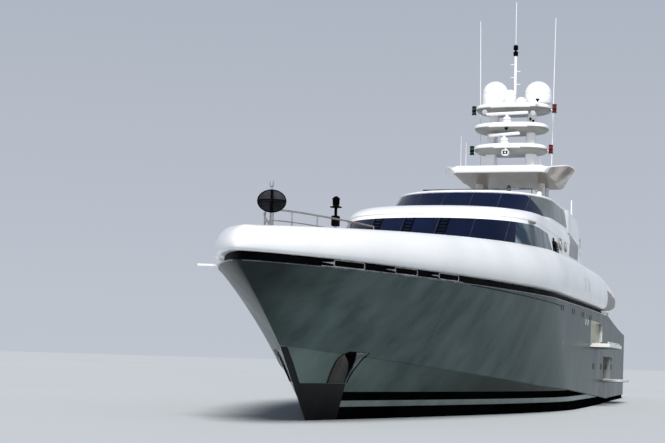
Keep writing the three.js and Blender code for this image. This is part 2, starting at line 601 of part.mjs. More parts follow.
const roofRow = (x0, half, z) => slabRow(skyTopRow, x0, half, -8.7, z);
add('sky_roof', cut(body([
  roofRow(0.34, 3.87, SKY_TOP + GAP),
  roofRow(0.32, 3.87, SKY_TOP + 0.06),
  roofRow(0.1, 3.78, SKY_TOP + 0.13),
  roofRow(-0.6, 3.5, SKY_ROOF),
]), body(TIERS.sky.rows.map((row) => tierRow(row, TIERS.sky.stern, 0))).translate([0, 0, GAP])), 'white');

// Hardtop: flat in the middle, with sides that flare up and out to two fins, on four raked legs
const HARDTOP_RINGS = [
  // under: half width of the underside; tip: the fin's edge; base, lift, top: heights above HARDTOP
  { x: -9.55, under: 2.3, tip: 2.38, base: 0.18, lift: 0.32, top: 0.46 },
  { x: -9.65, under: 2.45, tip: 2.58, base: 0.1, lift: 0.34, top: 0.53 },
  { x: -9.9, under: 2.57, tip: 2.75, base: 0.13, lift: 0.42, top: 0.55 },
  { x: -11, under: 2.6, tip: 3.12, base: 0.09, lift: 0.63, top: 0.55 },
  { x: -12.2, under: 2.62, tip: 3.52, base: 0.05, lift: 0.8, top: 0.55 },
  { x: -13, under: 2.65, tip: 3.74, base: 0.02, lift: 0.74, top: 0.55 },
  { x: -14.4, under: 2.67, tip: 3.25, base: -0.03, lift: 0.4, top: 0.55 },
  { x: -15.6, under: 2.68, tip: 2.8, base: -0.07, lift: 0.06, top: 0.55 },
  { x: -15.75, under: 2.6, tip: 2.66, base: 0, lift: 0.1, top: 0.4 },
];
const hardtopShell = fromRings(HARDTOP_RINGS.map(({ x, under, tip, base, lift, top }) => {
  const inner = Math.min(2.35, under - 0.1);
  const half = [[0, base], [under, base], [tip, lift], [tip - 0.09, lift + 0.07], [inner, top], [0, top]];
  const other = half.slice(1, -1).reverse().map(([y, z]) => [-y, z]);
  return [...half, ...other].map(([y, z]) => [x, y, HARDTOP + z]);
}));
const hardtopLegs = SIDES.flatMap(([, side]) => [-13.5, -15.1].map((x) => bar(
  [x + 0.5, side * 1.8, BOAT_DECK_AFT - 0.3], [x, side * 1.8, HARDTOP + 0.2], 0.2, 10,
).intersect(box(-20, 0, -6, 6, BOAT_DECK_AFT + GAP, 20))));
add('hardtop', join(hardtopShell, ...hardtopLegs), 'white');

// Mast: three stages, each a pair of pillars under a rounded platform, raked aft towards the top
const HARDTOP_TOP = HARDTOP + 0.55;
const STAGES = [
  // foot: top of what it stands on; top: its platform's top; x: platform centre; half, length: half sizes;
  // pillar: how far its pillars stand forward and to the side, and half their width
  {
    name: 'mast_stage_1', foot: HARDTOP_TOP, top: 14.5, x: -13.55, half: 2.12, length: 1.5,
    pillar: [0.45, 1.15, 0.31], box: true,
  },
  { name: 'mast_stage_2', foot: 14.5, top: 15.75, x: -13.65, half: 2.14, length: 1.4, pillar: [0.35, 1.12, 0.27] },
  { name: 'mast_stage_3', foot: 15.75, top: 17, x: -14.3, half: 2.19, length: 1.4, pillar: [0.1, 1.1, 0.26] },
];
const MAST_TOP = STAGES[2].top;
const blunt = (v) => Math.sign(v) * Math.pow(Math.abs(v), 0.75);
function platform({ x, top, half, length }) {
  const levels = [[-0.5, 0.8], [-0.38, 0.95], [-0.2, 1], [-0.06, 0.97], [0, 0.9]];
  return fromRings(levels.map(([z, share]) => ellipse(0, 0, 1, 1, 28)
    .map(([px, py]) => [x + length * share * blunt(px), half * share * blunt(py), top + z])));
}
STAGES.forEach((stage, i) => {
  const from = i === 0 ? stage.x - 0.1 : STAGES[i - 1].x;
  const [fore, apart, wide] = stage.pillar;
  const pillars = SIDES.map(([, side]) => prism([[fore, wide], [-0.55, wide], [-0.55, -wide], [fore, -wide]]
    .map(([x, y]) => [(from + stage.x) / 2 + x, side * apart + y]), stage.foot + GAP, stage.top - 0.3));
  const parts = [platform(stage), ...pillars];
  if (stage.box) parts.push(box(stage.x + 1.25, stage.x + 1.57, -0.5, -0.1, stage.top - 0.45, stage.top - 0.12));
  add(stage.name, join(...parts), 'white');
});

function dome(x, y, base, radius, height, sides = 20) {
  const centre = base + height - radius;
  const low = -Math.min(0.6, Math.asin(Math.min(1, (centre - base - 0.02) / radius)));
  const profile = [[0, base + GAP], [radius * Math.cos(low), base + GAP]];
  const arcs = 6;
  for (let i = 0; i <= arcs; i += 1) {
    const a = low + (i / arcs) * (Math.PI / 2 - low);
    profile.push([radius * Math.cos(a), centre + radius * Math.sin(a)]);
  }
  return turned(profile, x, y, sides);
}
const DOME_X = -14.3;
add('radome_port', dome(DOME_X, 1.4, MAST_TOP, 0.78, 1.43), 'white');
add('radome_starboard', dome(DOME_X, -1.1, MAST_TOP, 0.76, 1.5), 'white');
add('small_dome', dome(-13.6, -0.12, MAST_TOP, 0.34, 0.85, 16), 'white');
add('low_dome', dome(-13.5, 0.55, MAST_TOP, 0.3, 0.38, 16), 'white');
const POLE = { x: -14.6, y: 0, lamp: 20.1, lampTop: 20.7, tip: 23.3 };
add('mast_pole', join(
  bar([POLE.x, POLE.y, MAST_TOP + GAP], [POLE.x, POLE.y, POLE.lamp], 0.07, 8),
  bar([POLE.x, POLE.y, POLE.lamp - 0.05], [POLE.x, POLE.y, POLE.lampTop], 0.14, 10),
  bar([POLE.x, POLE.y, POLE.lampTop - 0.05], [POLE.x, POLE.y, POLE.tip], 0.022, 6),
), 'white');
const WHIP = { x: -15.2, y: 2.1, foot: HARDTOP_TOP, tip: 22.4 };
for (const [name, side] of SIDES) {
  add(`whip_${name}`, join(
    bar([WHIP.x, side * WHIP.y, WHIP.foot + GAP], [WHIP.x, side * WHIP.y, WHIP.foot + 0.5], 0.08, 8),
    bar([WHIP.x, side * WHIP.y, WHIP.foot + 0.4], [WHIP.x, side * (WHIP.y + 0.15), WHIP.tip], 0.028, 6),
  ), 'white');
}

// Side lights on brackets at the ends of two stages
const LIGHT = { half: 0.12, height: 0.52, out: 0.17 };
for (const [name, side] of SIDES) {
  for (const [level, stage] of [['low', STAGES[0]], ['high', STAGES[2]]]) {
    const y = side * (stage.half + LIGHT.out);
    const z = stage.top - 0.45;
    add(`side_light_${level}_${name}`, join(
      box(stage.x - 0.1, stage.x + 0.1, side * (stage.half + GAP), y, stage.top - 0.26, stage.top - 0.18),
      turned([[0, z], [LIGHT.half, z], [LIGHT.half, z + LIGHT.height], [0, z + LIGHT.height]], stage.x, y, 10),
    ), side > 0 ? 'red' : 'black');
  }
}

// Radar scanners that turn on pedestals at the front of two stages; turn is where each one stands, in degrees
const SCANNERS = [
  { name: 'upper', x: -12.6, y: -0.1, base: STAGES[1].top, length: 2.5, turn: -8 },
  { name: 'lower', x: -12.4, y: -0.2, base: STAGES[0].top, length: 1.75, turn: -24 },
];
for (const { name, x, y, base, length, turn } of SCANNERS) {
  add(`radar_pedestal_${name}`, turned(
    [[0, base + GAP], [0.24, base + GAP], [0.22, base + 0.2], [0.15, base + 0.3], [0, base + 0.3]], x, y, 16), 'white');
  const beam = new THREE.BoxGeometry(0.24, length, 0.17).rotateZ(THREE.MathUtils.degToRad(turn));
  add(`radar_scanner_${name}`, join(
    bar([x, y, base + 0.3 + GAP], [x, y, base + 0.5], 0.09, 12),
    solid(beam.translate(x, y, base + 0.52)),
  ), 'white');
}

// Bow fittings: jackstaff with its ball, masthead lamp forward, pulpit rail
const STAFF = { x: 26.7, top: 7.08, arm: 6.42 };
const BALL = { half: 0.42, height: 0.33, x: 0.5, y: 0.2 };
const toBall = Math.atan2(BALL.y, BALL.x);
const ballArm = box(0, Math.hypot(BALL.x, BALL.y) - BALL.half, -0.02, 0.02, -0.03, 0.03);
add('jackstaff', join(
  bar([STAFF.x, 0, UPPER_DECK + GAP], [STAFF.x, 0, STAFF.top], 0.035, 8),
  bar([STAFF.x, 0, STAFF.top - 0.18], [STAFF.x, 0, STAFF.top], 0.065, 10),
  ballArm.rotate([0, 0, THREE.MathUtils.radToDeg(toBall)]).translate([STAFF.x, 0, STAFF.arm]),
), 'steel');
const disc = (height) => prism(ellipse(0, 0, BALL.half, height, 20), -0.012, 0.012);
add('anchor_ball', join(disc(BALL.half), disc(BALL.height).rotate([90, 0, 0]), disc(BALL.height).rotate([90, 0, 90]))
  .rotate([0, 0, THREE.MathUtils.radToDeg(toBall)])
  .translate([STAFF.x + BALL.x + GAP * Math.cos(toBall), BALL.y + GAP * Math.sin(toBall), STAFF.arm]), 'black');
const LAMP = { x: 20.3, box: 6.4, boxTop: 6.75, plate: 7.05, top: 7.42 };
add('forward_lamp_post', join(
  bar([LAMP.x, 0, UPPER_DECK + GAP], [LAMP.x, 0, LAMP.top - 0.1], 0.05, 8),
  box(LAMP.x - 0.13, LAMP.x + 0.13, -0.12, 0.12, LAMP.box, LAMP.boxTop),
  bar([LAMP.x, 0, LAMP.plate - 0.03], [LAMP.x, 0, LAMP.plate], 0.2, 12),
  bar([LAMP.x, 0, LAMP.plate - 0.02], [LAMP.x, 0, LAMP.top], 0.13, 12),
), 'black');
const PULPIT = { z: 6.25, radius: 0.028, sides: 6 };
const pulpitLine = [[21.6, 1.7], [23.2, 1.35], [24.9, 0.85], [26, 0.42], [26.5, 0]];
const pulpitPoints = [...pulpitLine, ...pulpitLine.slice(0, -1).reverse().map(([x, y]) => [x, -y])];
add('bow_rail', join(
  rail(pulpitPoints.map(([x, y]) => [x, y, PULPIT.z]), PULPIT.radius),
  ...pulpitPoints.map(([x, y]) => bar([x, y, UPPER_DECK + GAP], [x, y, PULPIT.z], 0.022, PULPIT.sides)),
), 'steel');

// Underwater gear; each shaft bracket's two legs end at the hull's bottom
const BRACKET = { x: -23.4, half: 0.3, spread: 0.55, top: -0.4, leg: 0.09 };
function shaftBracket(side) {
  const [x, y, z] = shaftAt(BRACKET.x, side);
  const legs = [BRACKET.spread, -BRACKET.spread].map((lean) => bar([x, y, z], [x, y + lean, BRACKET.top], BRACKET.leg, 8));
  const barrel = bar(shaftAt(BRACKET.x - BRACKET.half, side), shaftAt(BRACKET.x + BRACKET.half, side), SHAFT.barrel, 14);
  return cut(join(barrel, ...legs), hullBody(0).translate([0, 0, -1.5 * GAP]), shaftBore(side));
}
for (const [name, side] of SIDES) {
  add(`shaft_bracket_${name}`, shaftBracket(side), 'bronze');
  const front = shaftAt(PROPELLER.x + 0.4, side);
  const back = shaftAt(PROPELLER.x - 0.45, side);
  const line = new THREE.Vector3(...back).sub(new THREE.Vector3(...front)).normalize();
  const lean = new THREE.Quaternion().setFromUnitVectors(new THREE.Vector3(-1, 0, 0), line);
  const blades = Array.from({ length: PROPELLER.blades }, (_, i) => {
    const plan = outlineShape([[-0.12, 0.1], [-0.33, 0.55], [-0.3, 0.85], [-0.05, 1], [0.2, 0.9], [0.3, 0.6], [0.14, 0.1]]);
    const blade = new THREE.ExtrudeGeometry(plan, { depth: 0.05, bevelEnabled: false }).translate(0, 0, -0.025);
    blade.rotateY(side * 0.75).rotateX((2 * Math.PI * i) / PROPELLER.blades);
    return solid(blade.applyQuaternion(lean).translate(...shaftAt(PROPELLER.x, side)));
  });
  add(`propeller_${name}`, join(bar(front, back, PROPELLER.hub, 14), ...blades), 'bronze');
  add(`shaft_${name}`, bar(shaftAt(-13.95, side), shaftAt(PROPELLER.x + 0.4 + GAP, side), SHAFT.radius, 12), 'steel');
  const section = [[0.42, 0], [0.25, 0.09], [-0.72, 0.02], [-0.72, -0.02], [0.25, -0.09]];
  add(`rudder_${name}`, join(
    bar([RUDDER.x, side * RUDDER.y, -1.4], [RUDDER.x, side * RUDDER.y, RUDDER.top + 0.1], RUDDER.stock, 12),
    prism(section.map(([x, y]) => [RUDDER.x + x, side * RUDDER.y + y]), RUDDER.bottom, RUDDER.top - 0.05),
  ), 'black');
  const blade = new THREE.ExtrudeGeometry(outlineShape([[-0.75, 0.12], [-0.7, 1.5], [0.32, 1.5], [0.65, 0.12]]),
    { depth: 0.15, bevelEnabled: false }).translate(0, 0, -0.075);
  blade.rotateX(side > 0 ? -FIN.lean : Math.PI + FIN.lean).translate(FIN.x, side * FIN.y, FIN.z);
  add(`stabiliser_fin_${name}`, join(finBar(side, 0, 0.3, FIN.root), solid(blade)), 'black');
}

// Fold-out balcony and boarding platform
for (const [name, spec] of Object.entries(FOLD_OUTS)) add(name, foldOut(spec), 'white');

// Aft bulkhead of the saloon with its sliding door, over the cockpit deck
const BULKHEAD = { thick: 0.16, half: COCKPIT.half - 0.02, front: -15.2, railUnder: 5.1 };
const underDeck = UPPER_DECK - DECK_THICK - GAP;
const bulkX = COCKPIT.x1 - 0.2;
add('aft_bulkhead', join(
  box(bulkX, bulkX + BULKHEAD.thick, -BULKHEAD.half, BULKHEAD.half, MAIN_DECK + GAP, underDeck),
  box(bulkX, BULKHEAD.front, -BULKHEAD.half, BULKHEAD.half, rimZ(BULKHEAD.front) + 0.01, underDeck),
  box(bulkX - 0.13, bulkX + 0.02, -2.8, 2.8, BULKHEAD.railUnder, BULKHEAD.railUnder + 0.1),
), 'white');
const leafBack = bulkX - CLEAR;
const leafTop = BULKHEAD.railUnder - CLEAR;
add('saloon_door', join(
  box(leafBack - 0.06, leafBack, -0.8, 0.8, MAIN_DECK + CLEAR, leafTop),
  ...[-0.65, 0.65].map((y) => box(leafBack - 0.06, leafBack, y - 0.12, y + 0.12, leafTop - 0.1, BULKHEAD.railUnder - GAP)),
), 'glass');

// Swim platform and transom door
add('swim_platform', prism(mirrored([[-27.7136, 4.7], [-29.2, 4.3], [-30, 3.1]]), PLATFORM_Z - 0.32, PLATFORM_Z), 'teak');
const doorFoot = MAIN_DECK + TRANSOM_DOOR.pin + GAP;
add('transom_door', join(
  bar([TRANSOM_DOOR.x, -TRANSOM_DOOR.half, doorFoot], [TRANSOM_DOOR.x, TRANSOM_DOOR.half, doorFoot], TRANSOM_DOOR.pin, 12),
  box(TRANSOM_DOOR.x - TRANSOM_DOOR.thick / 2, TRANSOM_DOOR.x + TRANSOM_DOOR.thick / 2,
    -TRANSOM_DOOR.half, TRANSOM_DOOR.half, doorFoot, TRANSOM_DOOR.top),
), 'hullGrey');

export default yacht;
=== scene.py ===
# Looks of the half-scale motor yacht. Sizes are in metres of the real yacht; K turns them into the model's
import math
import bmesh
import bpy
from mathutils import Matrix, Vector


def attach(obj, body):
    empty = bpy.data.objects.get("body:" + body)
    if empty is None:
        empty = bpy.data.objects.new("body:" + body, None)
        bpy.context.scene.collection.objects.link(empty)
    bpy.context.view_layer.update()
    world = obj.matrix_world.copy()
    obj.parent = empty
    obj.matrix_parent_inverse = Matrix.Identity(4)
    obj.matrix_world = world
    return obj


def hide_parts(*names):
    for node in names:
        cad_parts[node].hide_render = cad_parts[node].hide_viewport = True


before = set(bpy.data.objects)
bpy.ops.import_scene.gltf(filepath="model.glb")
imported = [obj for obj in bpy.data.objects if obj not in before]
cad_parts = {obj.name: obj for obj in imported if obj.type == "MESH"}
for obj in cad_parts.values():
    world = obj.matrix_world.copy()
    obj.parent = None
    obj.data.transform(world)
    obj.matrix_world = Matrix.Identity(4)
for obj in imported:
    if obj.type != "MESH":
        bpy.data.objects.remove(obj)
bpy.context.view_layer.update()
K = 0.5
SIDES = (("port", 1), ("starboard", -1))


# ---- materials
def rgb(*shown):
    """Linear colour of a display colour, 0 to 255."""
    return (*(v / 255 / 12.92 if v / 255 <= 0.04045 else ((v / 255 + 0.055) / 1.055) ** 2.4 for v in shown), 1)


def node(tree, kind, source=None, **values):
    """A new node; source feeds its first input, and values set others."""
    made = tree.nodes.new("ShaderNode" + kind)
    if source:
        tree.links.new(source, made.inputs[0])
    for name, value in values.items():
        made.inputs[name.replace("_", " ")].default_value = value
    return made


def compare(tree, source, limit):
    """1 where a value is past a limit, and 0 elsewhere."""
    made = node(tree, "Math", source)
    made.operation, made.inputs[1].default_value = "GREATER_THAN", limit
    return made.outputs[0]


def mix_base(made, factor, a, b, blend="MIX"):
    """Mixes two colours, each an output or a value, for the base colour of a material."""
    tree = made.node_tree
    mix = node(tree, "Mix")
    mix.data_type, mix.blend_type = "RGBA", blend
    for name, source in (("Factor", factor), ("A", a), ("B", b)):
        if isinstance(source, bpy.types.NodeSocket):
            tree.links.new(source, mix.inputs[name])
        else:
            mix.inputs[name].default_value = source
    tree.links.new(mix.outputs["Result"], tree.nodes["Principled BSDF"].inputs["Base Color"])
    return made


def material(name, dark, light, rough, metal=0.0, coat=0.0, scale=1.5, stretch=(1, 1, 1), bump=0.0,
             bump_scale=30.0, spec=0.5, detail=4.0, spread=(0.35, 0.65)):
    """A finish whose display colour and roughness vary between two values along a noise in object space."""
    made = bpy.data.materials.new(name)
    made.use_nodes = True
    tree = made.node_tree
    shader = tree.nodes["Principled BSDF"]
    place = node(tree, "Mapping", node(tree, "TexCoord").outputs["Object"], Scale=stretch).outputs["Vector"]
    noise = node(tree, "TexNoise", place, Scale=scale, Detail=detail).outputs["Fac"]
    ramp = node(tree, "ValToRGB", noise)
    for end, position, colour in zip(ramp.color_ramp.elements, spread, (dark, light)):
        end.position, end.color = position, rgb(*colour)
    tree.links.new(ramp.outputs["Color"], shader.inputs["Base Color"])
    span_node = node(tree, "MapRange", noise, From_Min=0.3, From_Max=0.7, To_Min=rough[0], To_Max=rough[1])
    tree.links.new(span_node.outputs["Result"], shader.inputs["Roughness"])
    for socket, value in (("Metallic", metal), ("Specular IOR Level", spec), ("Coat Weight", coat),
                          ("Coat Roughness", 0.04)):
        shader.inputs[socket].default_value = value
    if bump:
        fine = node(tree, "TexNoise", place, Scale=bump_scale, Detail=3.0)
        relief = node(tree, "Bump", Strength=bump, Distance=0.01)
        tree.links.new(fine.outputs["Fac"], relief.inputs["Height"])
        tree.links.new(relief.outputs["Normal"], shader.inputs["Normal"])
    return made


def teak_deck():
    """Planks 60 mm wide in the model with dark caulking, laid fore and aft."""
    made = material("teak_planks", (150, 112, 74), (186, 148, 104), (0.55, 0.75), scale=3, stretch=(1, 12, 1))
    tree = made.node_tree
    wave = node(tree, "TexWave", tree.nodes["Texture Coordinate"].outputs["Object"], Scale=5.2)
    wave.wave_type, wave.bands_direction, wave.wave_profile = "BANDS", "Y", "SAW"
    seam = compare(tree, wave.outputs["Fac"], 0.92)
    return mix_base(made, seam, tree.nodes["Color Ramp"].outputs["Color"], rgb(38, 32, 28))


def hull_paint_painted_light(name, dark, light, tints):
    """Grey paint with faint slanting streaks of painted reflection; tints are (x, factor) and darken it along the hull
    as painted shade.
    """
    made = material(name, dark, light, (0.25, 0.35), scale=1.1, bump=0.05, bump_scale=2.5, spec=0.05, detail=6)
    tree = made.node_tree
    place = tree.nodes["Mapping"]
    place.vector_type = "TEXTURE"
    place.inputs["Scale"].default_value = (0.55, 0.55, 4.5)
    place.inputs["Rotation"].default_value = (0, -0.5, 0)
    axes = node(tree, "SeparateXYZ", tree.nodes["Texture Coordinate"].outputs["Object"])
    along = node(tree, "MapRange", axes.outputs["X"], From_Min=-HALF_LENGTH, From_Max=HALF_LENGTH)
    tone = node(tree, "ValToRGB", along.outputs["Result"])
    stops = tone.color_ramp.elements
    for i, (x, factor) in enumerate(tints):
        stop = stops[i] if i < 2 else stops.new(1)
        stop.position, stop.color = (x + HALF_LENGTH) / (2 * HALF_LENGTH), (factor, factor, factor, 1)
    return mix_base(made, 1, tree.nodes["Color Ramp"].outputs["Color"], tone.outputs["Color"], "MULTIPLY")


def two_faced(source, name, world, least, colour):
    """A copy of a finish that keeps its own colour only where the normal's z, world or object, is above least."""
    made = source.copy()
    made.name = name
    tree = made.node_tree
    own = tree.nodes["Principled BSDF"].inputs["Base Color"].links[0].from_socket
    facing = node(tree, "NewGeometry") if world else tree.nodes["Texture Coordinate"]
    axes = node(tree, "SeparateXYZ", facing.outputs["Normal"])
    return mix_base(made, compare(tree, axes.outputs["Z"], least), rgb(*colour), own)


HALF_LENGTH = 15  # of the model, in its own metres
# Topsides: the streaks are painted reflection and the tints painted shade, darkest at the stem
HULL_PAINTED_LIGHT = hull_paint_painted_light("hull_paint_painted_light", (74, 90, 89), (98, 115, 113),
                  [(-10, 0.66), (0, 0.6), (4, 0.62), (8, 0.74), (12.4, 0.76), (14.0, 0.2)])
# Hull below the knuckle: its tints are painted shade under the knuckle ledge, darkest aft
HULL_LOW_PAINTED_SHADE = hull_paint_painted_light("hull_paint_low_painted_shade", (82, 100, 96), (106, 122, 118),
                      [(-10, 0.08), (4, 0.08), (6.6, 0.17), (8.2, 0.45), (10, 0.72), (12, 1)])
BOOT = material("boot_top", (3, 4, 4), (8, 10, 11), (0.5, 0.65), scale=2, spec=0.0)
STRIPE = material("boot_stripe", (112, 123, 119), (132, 142, 138), (0.3, 0.4), scale=3, spec=0.2)
BOTTOM = material("antifouling", (20, 22, 26), (34, 36, 42), (0.55, 0.75), scale=6, bump=0.2, bump_scale=60)
WHITE = material("white_gloss", (232, 233, 234), (242, 243, 243), (0.16, 0.24), coat=0.4, scale=0.8,
                 bump=0.02, bump_scale=3)
SATIN = material("white_satin", (214, 214, 210), (228, 228, 225), (0.4, 0.55), scale=2, bump=0.05)
# Grey liner; also painted shade on the collar's aft end and on the mast stages' undersides
LINER_AND_SHADE_GREY = material("grey_liner_and_painted_shade", (120, 120, 116), (138, 138, 134), (0.35, 0.5), scale=2, bump=0.05)
BLACK = material("black_paint", (3, 3, 4), (9, 9, 10), (0.5, 0.65), scale=4, bump=0.03, spec=0.02)
SHADOW = material("dark_interior", (5, 5, 6), (10, 10, 12), (0.6, 0.8), scale=4)
STEEL = material("polished_steel", (176, 180, 183), (204, 207, 209), (0.34, 0.46), metal=1.0, scale=5,
                 bump=0.03, bump_scale=40)
# Stem steel: its near-black, streaked colour is a painted dark reflection
MIRROR_PAINTED_REFLECTION = material("mirror_steel_painted_reflection", (8, 11, 13), (26, 30, 33), (0.08, 0.2), metal=0.9, scale=1.4,
                  stretch=(1, 1, 0.3), bump=0.06, bump_scale=4)
GLASS = material("tinted_glass", (3, 8, 28), (8, 18, 46), (0.04, 0.08), scale=0.7, spec=0.35)
SIDE_GLASS = material("grey_glass", (78, 86, 90), (120, 122, 118), (0.12, 0.2), scale=1.2,
                      stretch=(1.5, 1.5, 0.2), spec=0.08)
TEAK = teak_deck()
DARK_STEEL = material("frame_steel", (70, 74, 78), (120, 124, 128), (0.12, 0.25), metal=1.0, scale=6)
FRAME_STEEL = material("bright_frame_steel", (120, 122, 124), (176, 178, 180), (0.2, 0.3), metal=0.6, scale=6)
BRONZE = material("propeller_bronze", (150, 116, 62), (178, 142, 84), (0.25, 0.4), metal=1.0, scale=8, bump=0.08)
# Glass with light streaks of painted reflection
GLASS_PAINTED_REFLECTION = material("glass_with_painted_reflection", (40, 52, 66), (122, 134, 136), (0.15, 0.25), scale=1.4,
                    stretch=(1.2, 1.2, 0.08), spec=0.04, spread=(0.4, 0.58))
SEAL = material("window_seal", (28, 32, 44), (44, 50, 64), (0.3, 0.4), scale=4, spec=0.2)
# Anchor plate steel: its dark, streaked colour is a painted reflection
POCKET_STEEL_PAINTED_REFLECTION = material("anchor_plate_painted_reflection", (28, 28, 29), (84, 80, 78), (0.12, 0.25), metal=0.9, scale=3,
                        stretch=(1, 1, 0.25))
RED = material("red_lamp", (84, 8, 12), (116, 12, 16), (0.1, 0.18), coat=0.2, scale=8)
GREEN = material("green_lamp", (6, 40, 26), (10, 58, 38), (0.1, 0.18), coat=0.2, scale=8)
LAMP_BODY = material("lamp_body", (38, 8, 10), (60, 12, 14), (0.3, 0.4), scale=8)
BALL_CLOTH = material("anchor_ball_panels", (40, 42, 47), (64, 66, 72), (0.6, 0.75), scale=6, bump=0.1, spec=0.1)
# Recess inside: light streaks on grey as painted reflection
RECESS_PAINTED_REFLECTION = material("recess_painted_reflection", (108, 118, 116), (232, 231, 222), (0.3, 0.4), scale=1.5,
                  stretch=(1.6, 1.6, 0.5), spread=(0.38, 0.5))
LENS = material("clear_lens", (170, 178, 184), (200, 206, 210), (0.05, 0.12), coat=0.5, scale=8)


# ---- meshes
def turns(count):
    """Angles all the way round."""
    return [2 * math.pi * k / count for k in range(count)]


def steps(a, b, count):
    """Numbers from a to b in equal steps."""
    return [a + (b - a) * i / count for i in range(count + 1)]


def between(p, q, share):
    return tuple(a + (b - a) * share for a, b in zip(p, q))


class Shape:
    """Collects faces in metres of the real yacht and makes one piece of them."""

    def __init__(self):
        self.verts, self.faces, self.kinds = [], [], []

    def add(self, verts, faces, kind=0):
        base = len(self.verts)
        self.verts += [tuple(v) for v in verts]
        self.faces += [[base + i for i in face] for face in faces]
        self.kinds += [kind] * len(faces)
        return self

    def rings(self, rings, kind=0, around=False, caps=True):
        """Closed rings joined one to the next, with a cap at both ends unless the last joins the first."""
        count, total = len(rings[0]), len(rings)
        faces = []
        for s in range(total if around else total - 1):
            up = count if s + 1 < total else -s * count
            for k in range(count):
                a, b = s * count + k, s * count + (k + 1) % count
                faces.append((a, b, b + up, a + up))
        if caps and not around:
            faces += [range(count)[::-1], range((total - 1) * count, total * count)]
        return self.add([p for ring in rings for p in ring], faces, kind)

    def box(self, x0, x1, y0, y1, z0, z1, kind=0, edge=0.0):
        """A box with its edges cut off by edge, or by a third of its smallest side."""
        half = [abs(b - a) / 2 for a, b in ((x0, x1), (y0, y1), (z0, z1))]
        e = min(edge, *(h * 2 / 3 for h in half))
        low, high = min(z0, z1), max(z0, z1)
        rings = []
        for z, inset in [(low, e), (low + e, 0), (high - e, 0), (high, e)] if e else [(low, 0), (high, 0)]:
            hx, hy = half[0] - inset, half[1] - inset
            corners = []
            for sx, sy in ((1, 1), (-1, 1), (-1, -1), (1, -1)):
                two = [(sx * hx, sy * (hy - e)), (sx * (hx - e), sy * hy)]
                corners += two[::sx * sy] if e else two[:1]
            rings.append([((x0 + x1) / 2 + px, (y0 + y1) / 2 + py, z) for px, py in corners])
        return self.rings(rings, kind)

    def tube(self, points, radius, kind=0, sides=8, around=False):
        """A round tube along points; radius may be one number or one for each point."""
        line = [Vector(p) for p in points]
        total = len(line)
        radii = radius if isinstance(radius, list) else [radius] * total
        rings, across = [], None
        for i, point in enumerate(line):
            before = line[(i - 1) % total] if around else line[max(i - 1, 0)]
            after = line[(i + 1) % total] if around else line[min(i + 1, total - 1)]
            along = (after - before).normalized()
            if across is None:
                across = along.cross(Vector((0, 0, 1)))
                if across.length < 0.1:
                    across = along.cross(Vector((1, 0, 0)))
            across = (across - along * across.dot(along)).normalized()
            up = along.cross(across)
            rings.append([tuple(point + radii[i] * (math.cos(a) * across + math.sin(a) * up)) for a in turns(sides)])
        return self.rings(rings, kind, around)

    def lathe(self, profile, x, y, foot=0.0, kind=0, sides=20):
        """A solid turned about an upright line, from (radius, height over foot) points."""
        thin = 0.0005
        return self.rings([[(x + max(r, thin) * math.cos(a), y + max(r, thin) * math.sin(a), foot + z)
                            for a in turns(sides)] for r, z in profile], kind)

    def side_prism(self, outline, y0, y1, kind=0):
        """An outline in profile, (x, z), drawn out between two y."""
        return self.rings([[(x, y, z) for x, z in outline] for y in (y0, y1)], kind)

    def sheet(self, side, lines, y_at, out, back, kind=0):
        """A sheet over rows of (x, z) on one side of the yacht, between two distances from its surface."""
        return self.rings([[(x, side * (y_at(x, z) + out), z) for x, z in line]
                           + [(x, side * (y_at(x, z) + back), z) for x, z in line[::-1]] for line in lines], kind)

    def turned(self, part, turn, kind=0, side=1):
        """Adds another shape after a turn, mirrored to a side."""
        points = [turn @ Vector(v) for v in part.verts]
        return self.add([(p.x, side * p.y, p.z) for p in points], part.faces, kind)

    def mesh(self, name):
        data = bpy.data.meshes.new(name)
        data.from_pydata([(x * K, y * K, z * K) for x, y, z in self.verts], [], self.faces)
        data.polygons.foreach_set("material_index", self.kinds)
        net = bmesh.new()
        net.from_mesh(data)
        bmesh.ops.remove_doubles(net, verts=net.verts, dist=1e-5)
        bmesh.ops.recalc_face_normals(net, faces=net.faces)
        net.to_mesh(data)
        net.free()
        return data


def patch(corners, rows, along):
    """Rows of (x, z) points between four corners: fore foot, aft foot, aft head, fore head."""
    fore_foot, aft_foot, aft_head, fore_head = corners
    return [[between(between(fore_foot, fore_head, v), between(aft_foot, aft_head, v), u) for u in steps(0, 1, along)]
            for v in steps(0, 1, rows)]


def plain_object(name, data):
    made = bpy.data.objects.new(name, data)
    bpy.context.scene.collection.objects.link(made)
    return made


def cut_mesh(data, tool, operation="DIFFERENCE"):
    """The mesh cut by a shape or crossed with it; the shape's kinds are slots of the mesh."""
    tool_mesh = tool.mesh("cut_tool")
    for held in (data, tool_mesh):
        while len(held.materials) < 2:
            held.materials.append(None)
    whole, other = plain_object("cut_whole", data), plain_object("cut_tool", tool_mesh)
    step = whole.modifiers.new("cut", "BOOLEAN")
    step.operation, step.object, step.solver = operation, other, "EXACT"
    bpy.context.view_layer.update()
    result = bpy.data.meshes.new_from_object(whole.evaluated_get(bpy.context.evaluated_depsgraph_get()))
    bpy.data.objects.remove(whole)
    bpy.data.objects.remove(other)
    return result


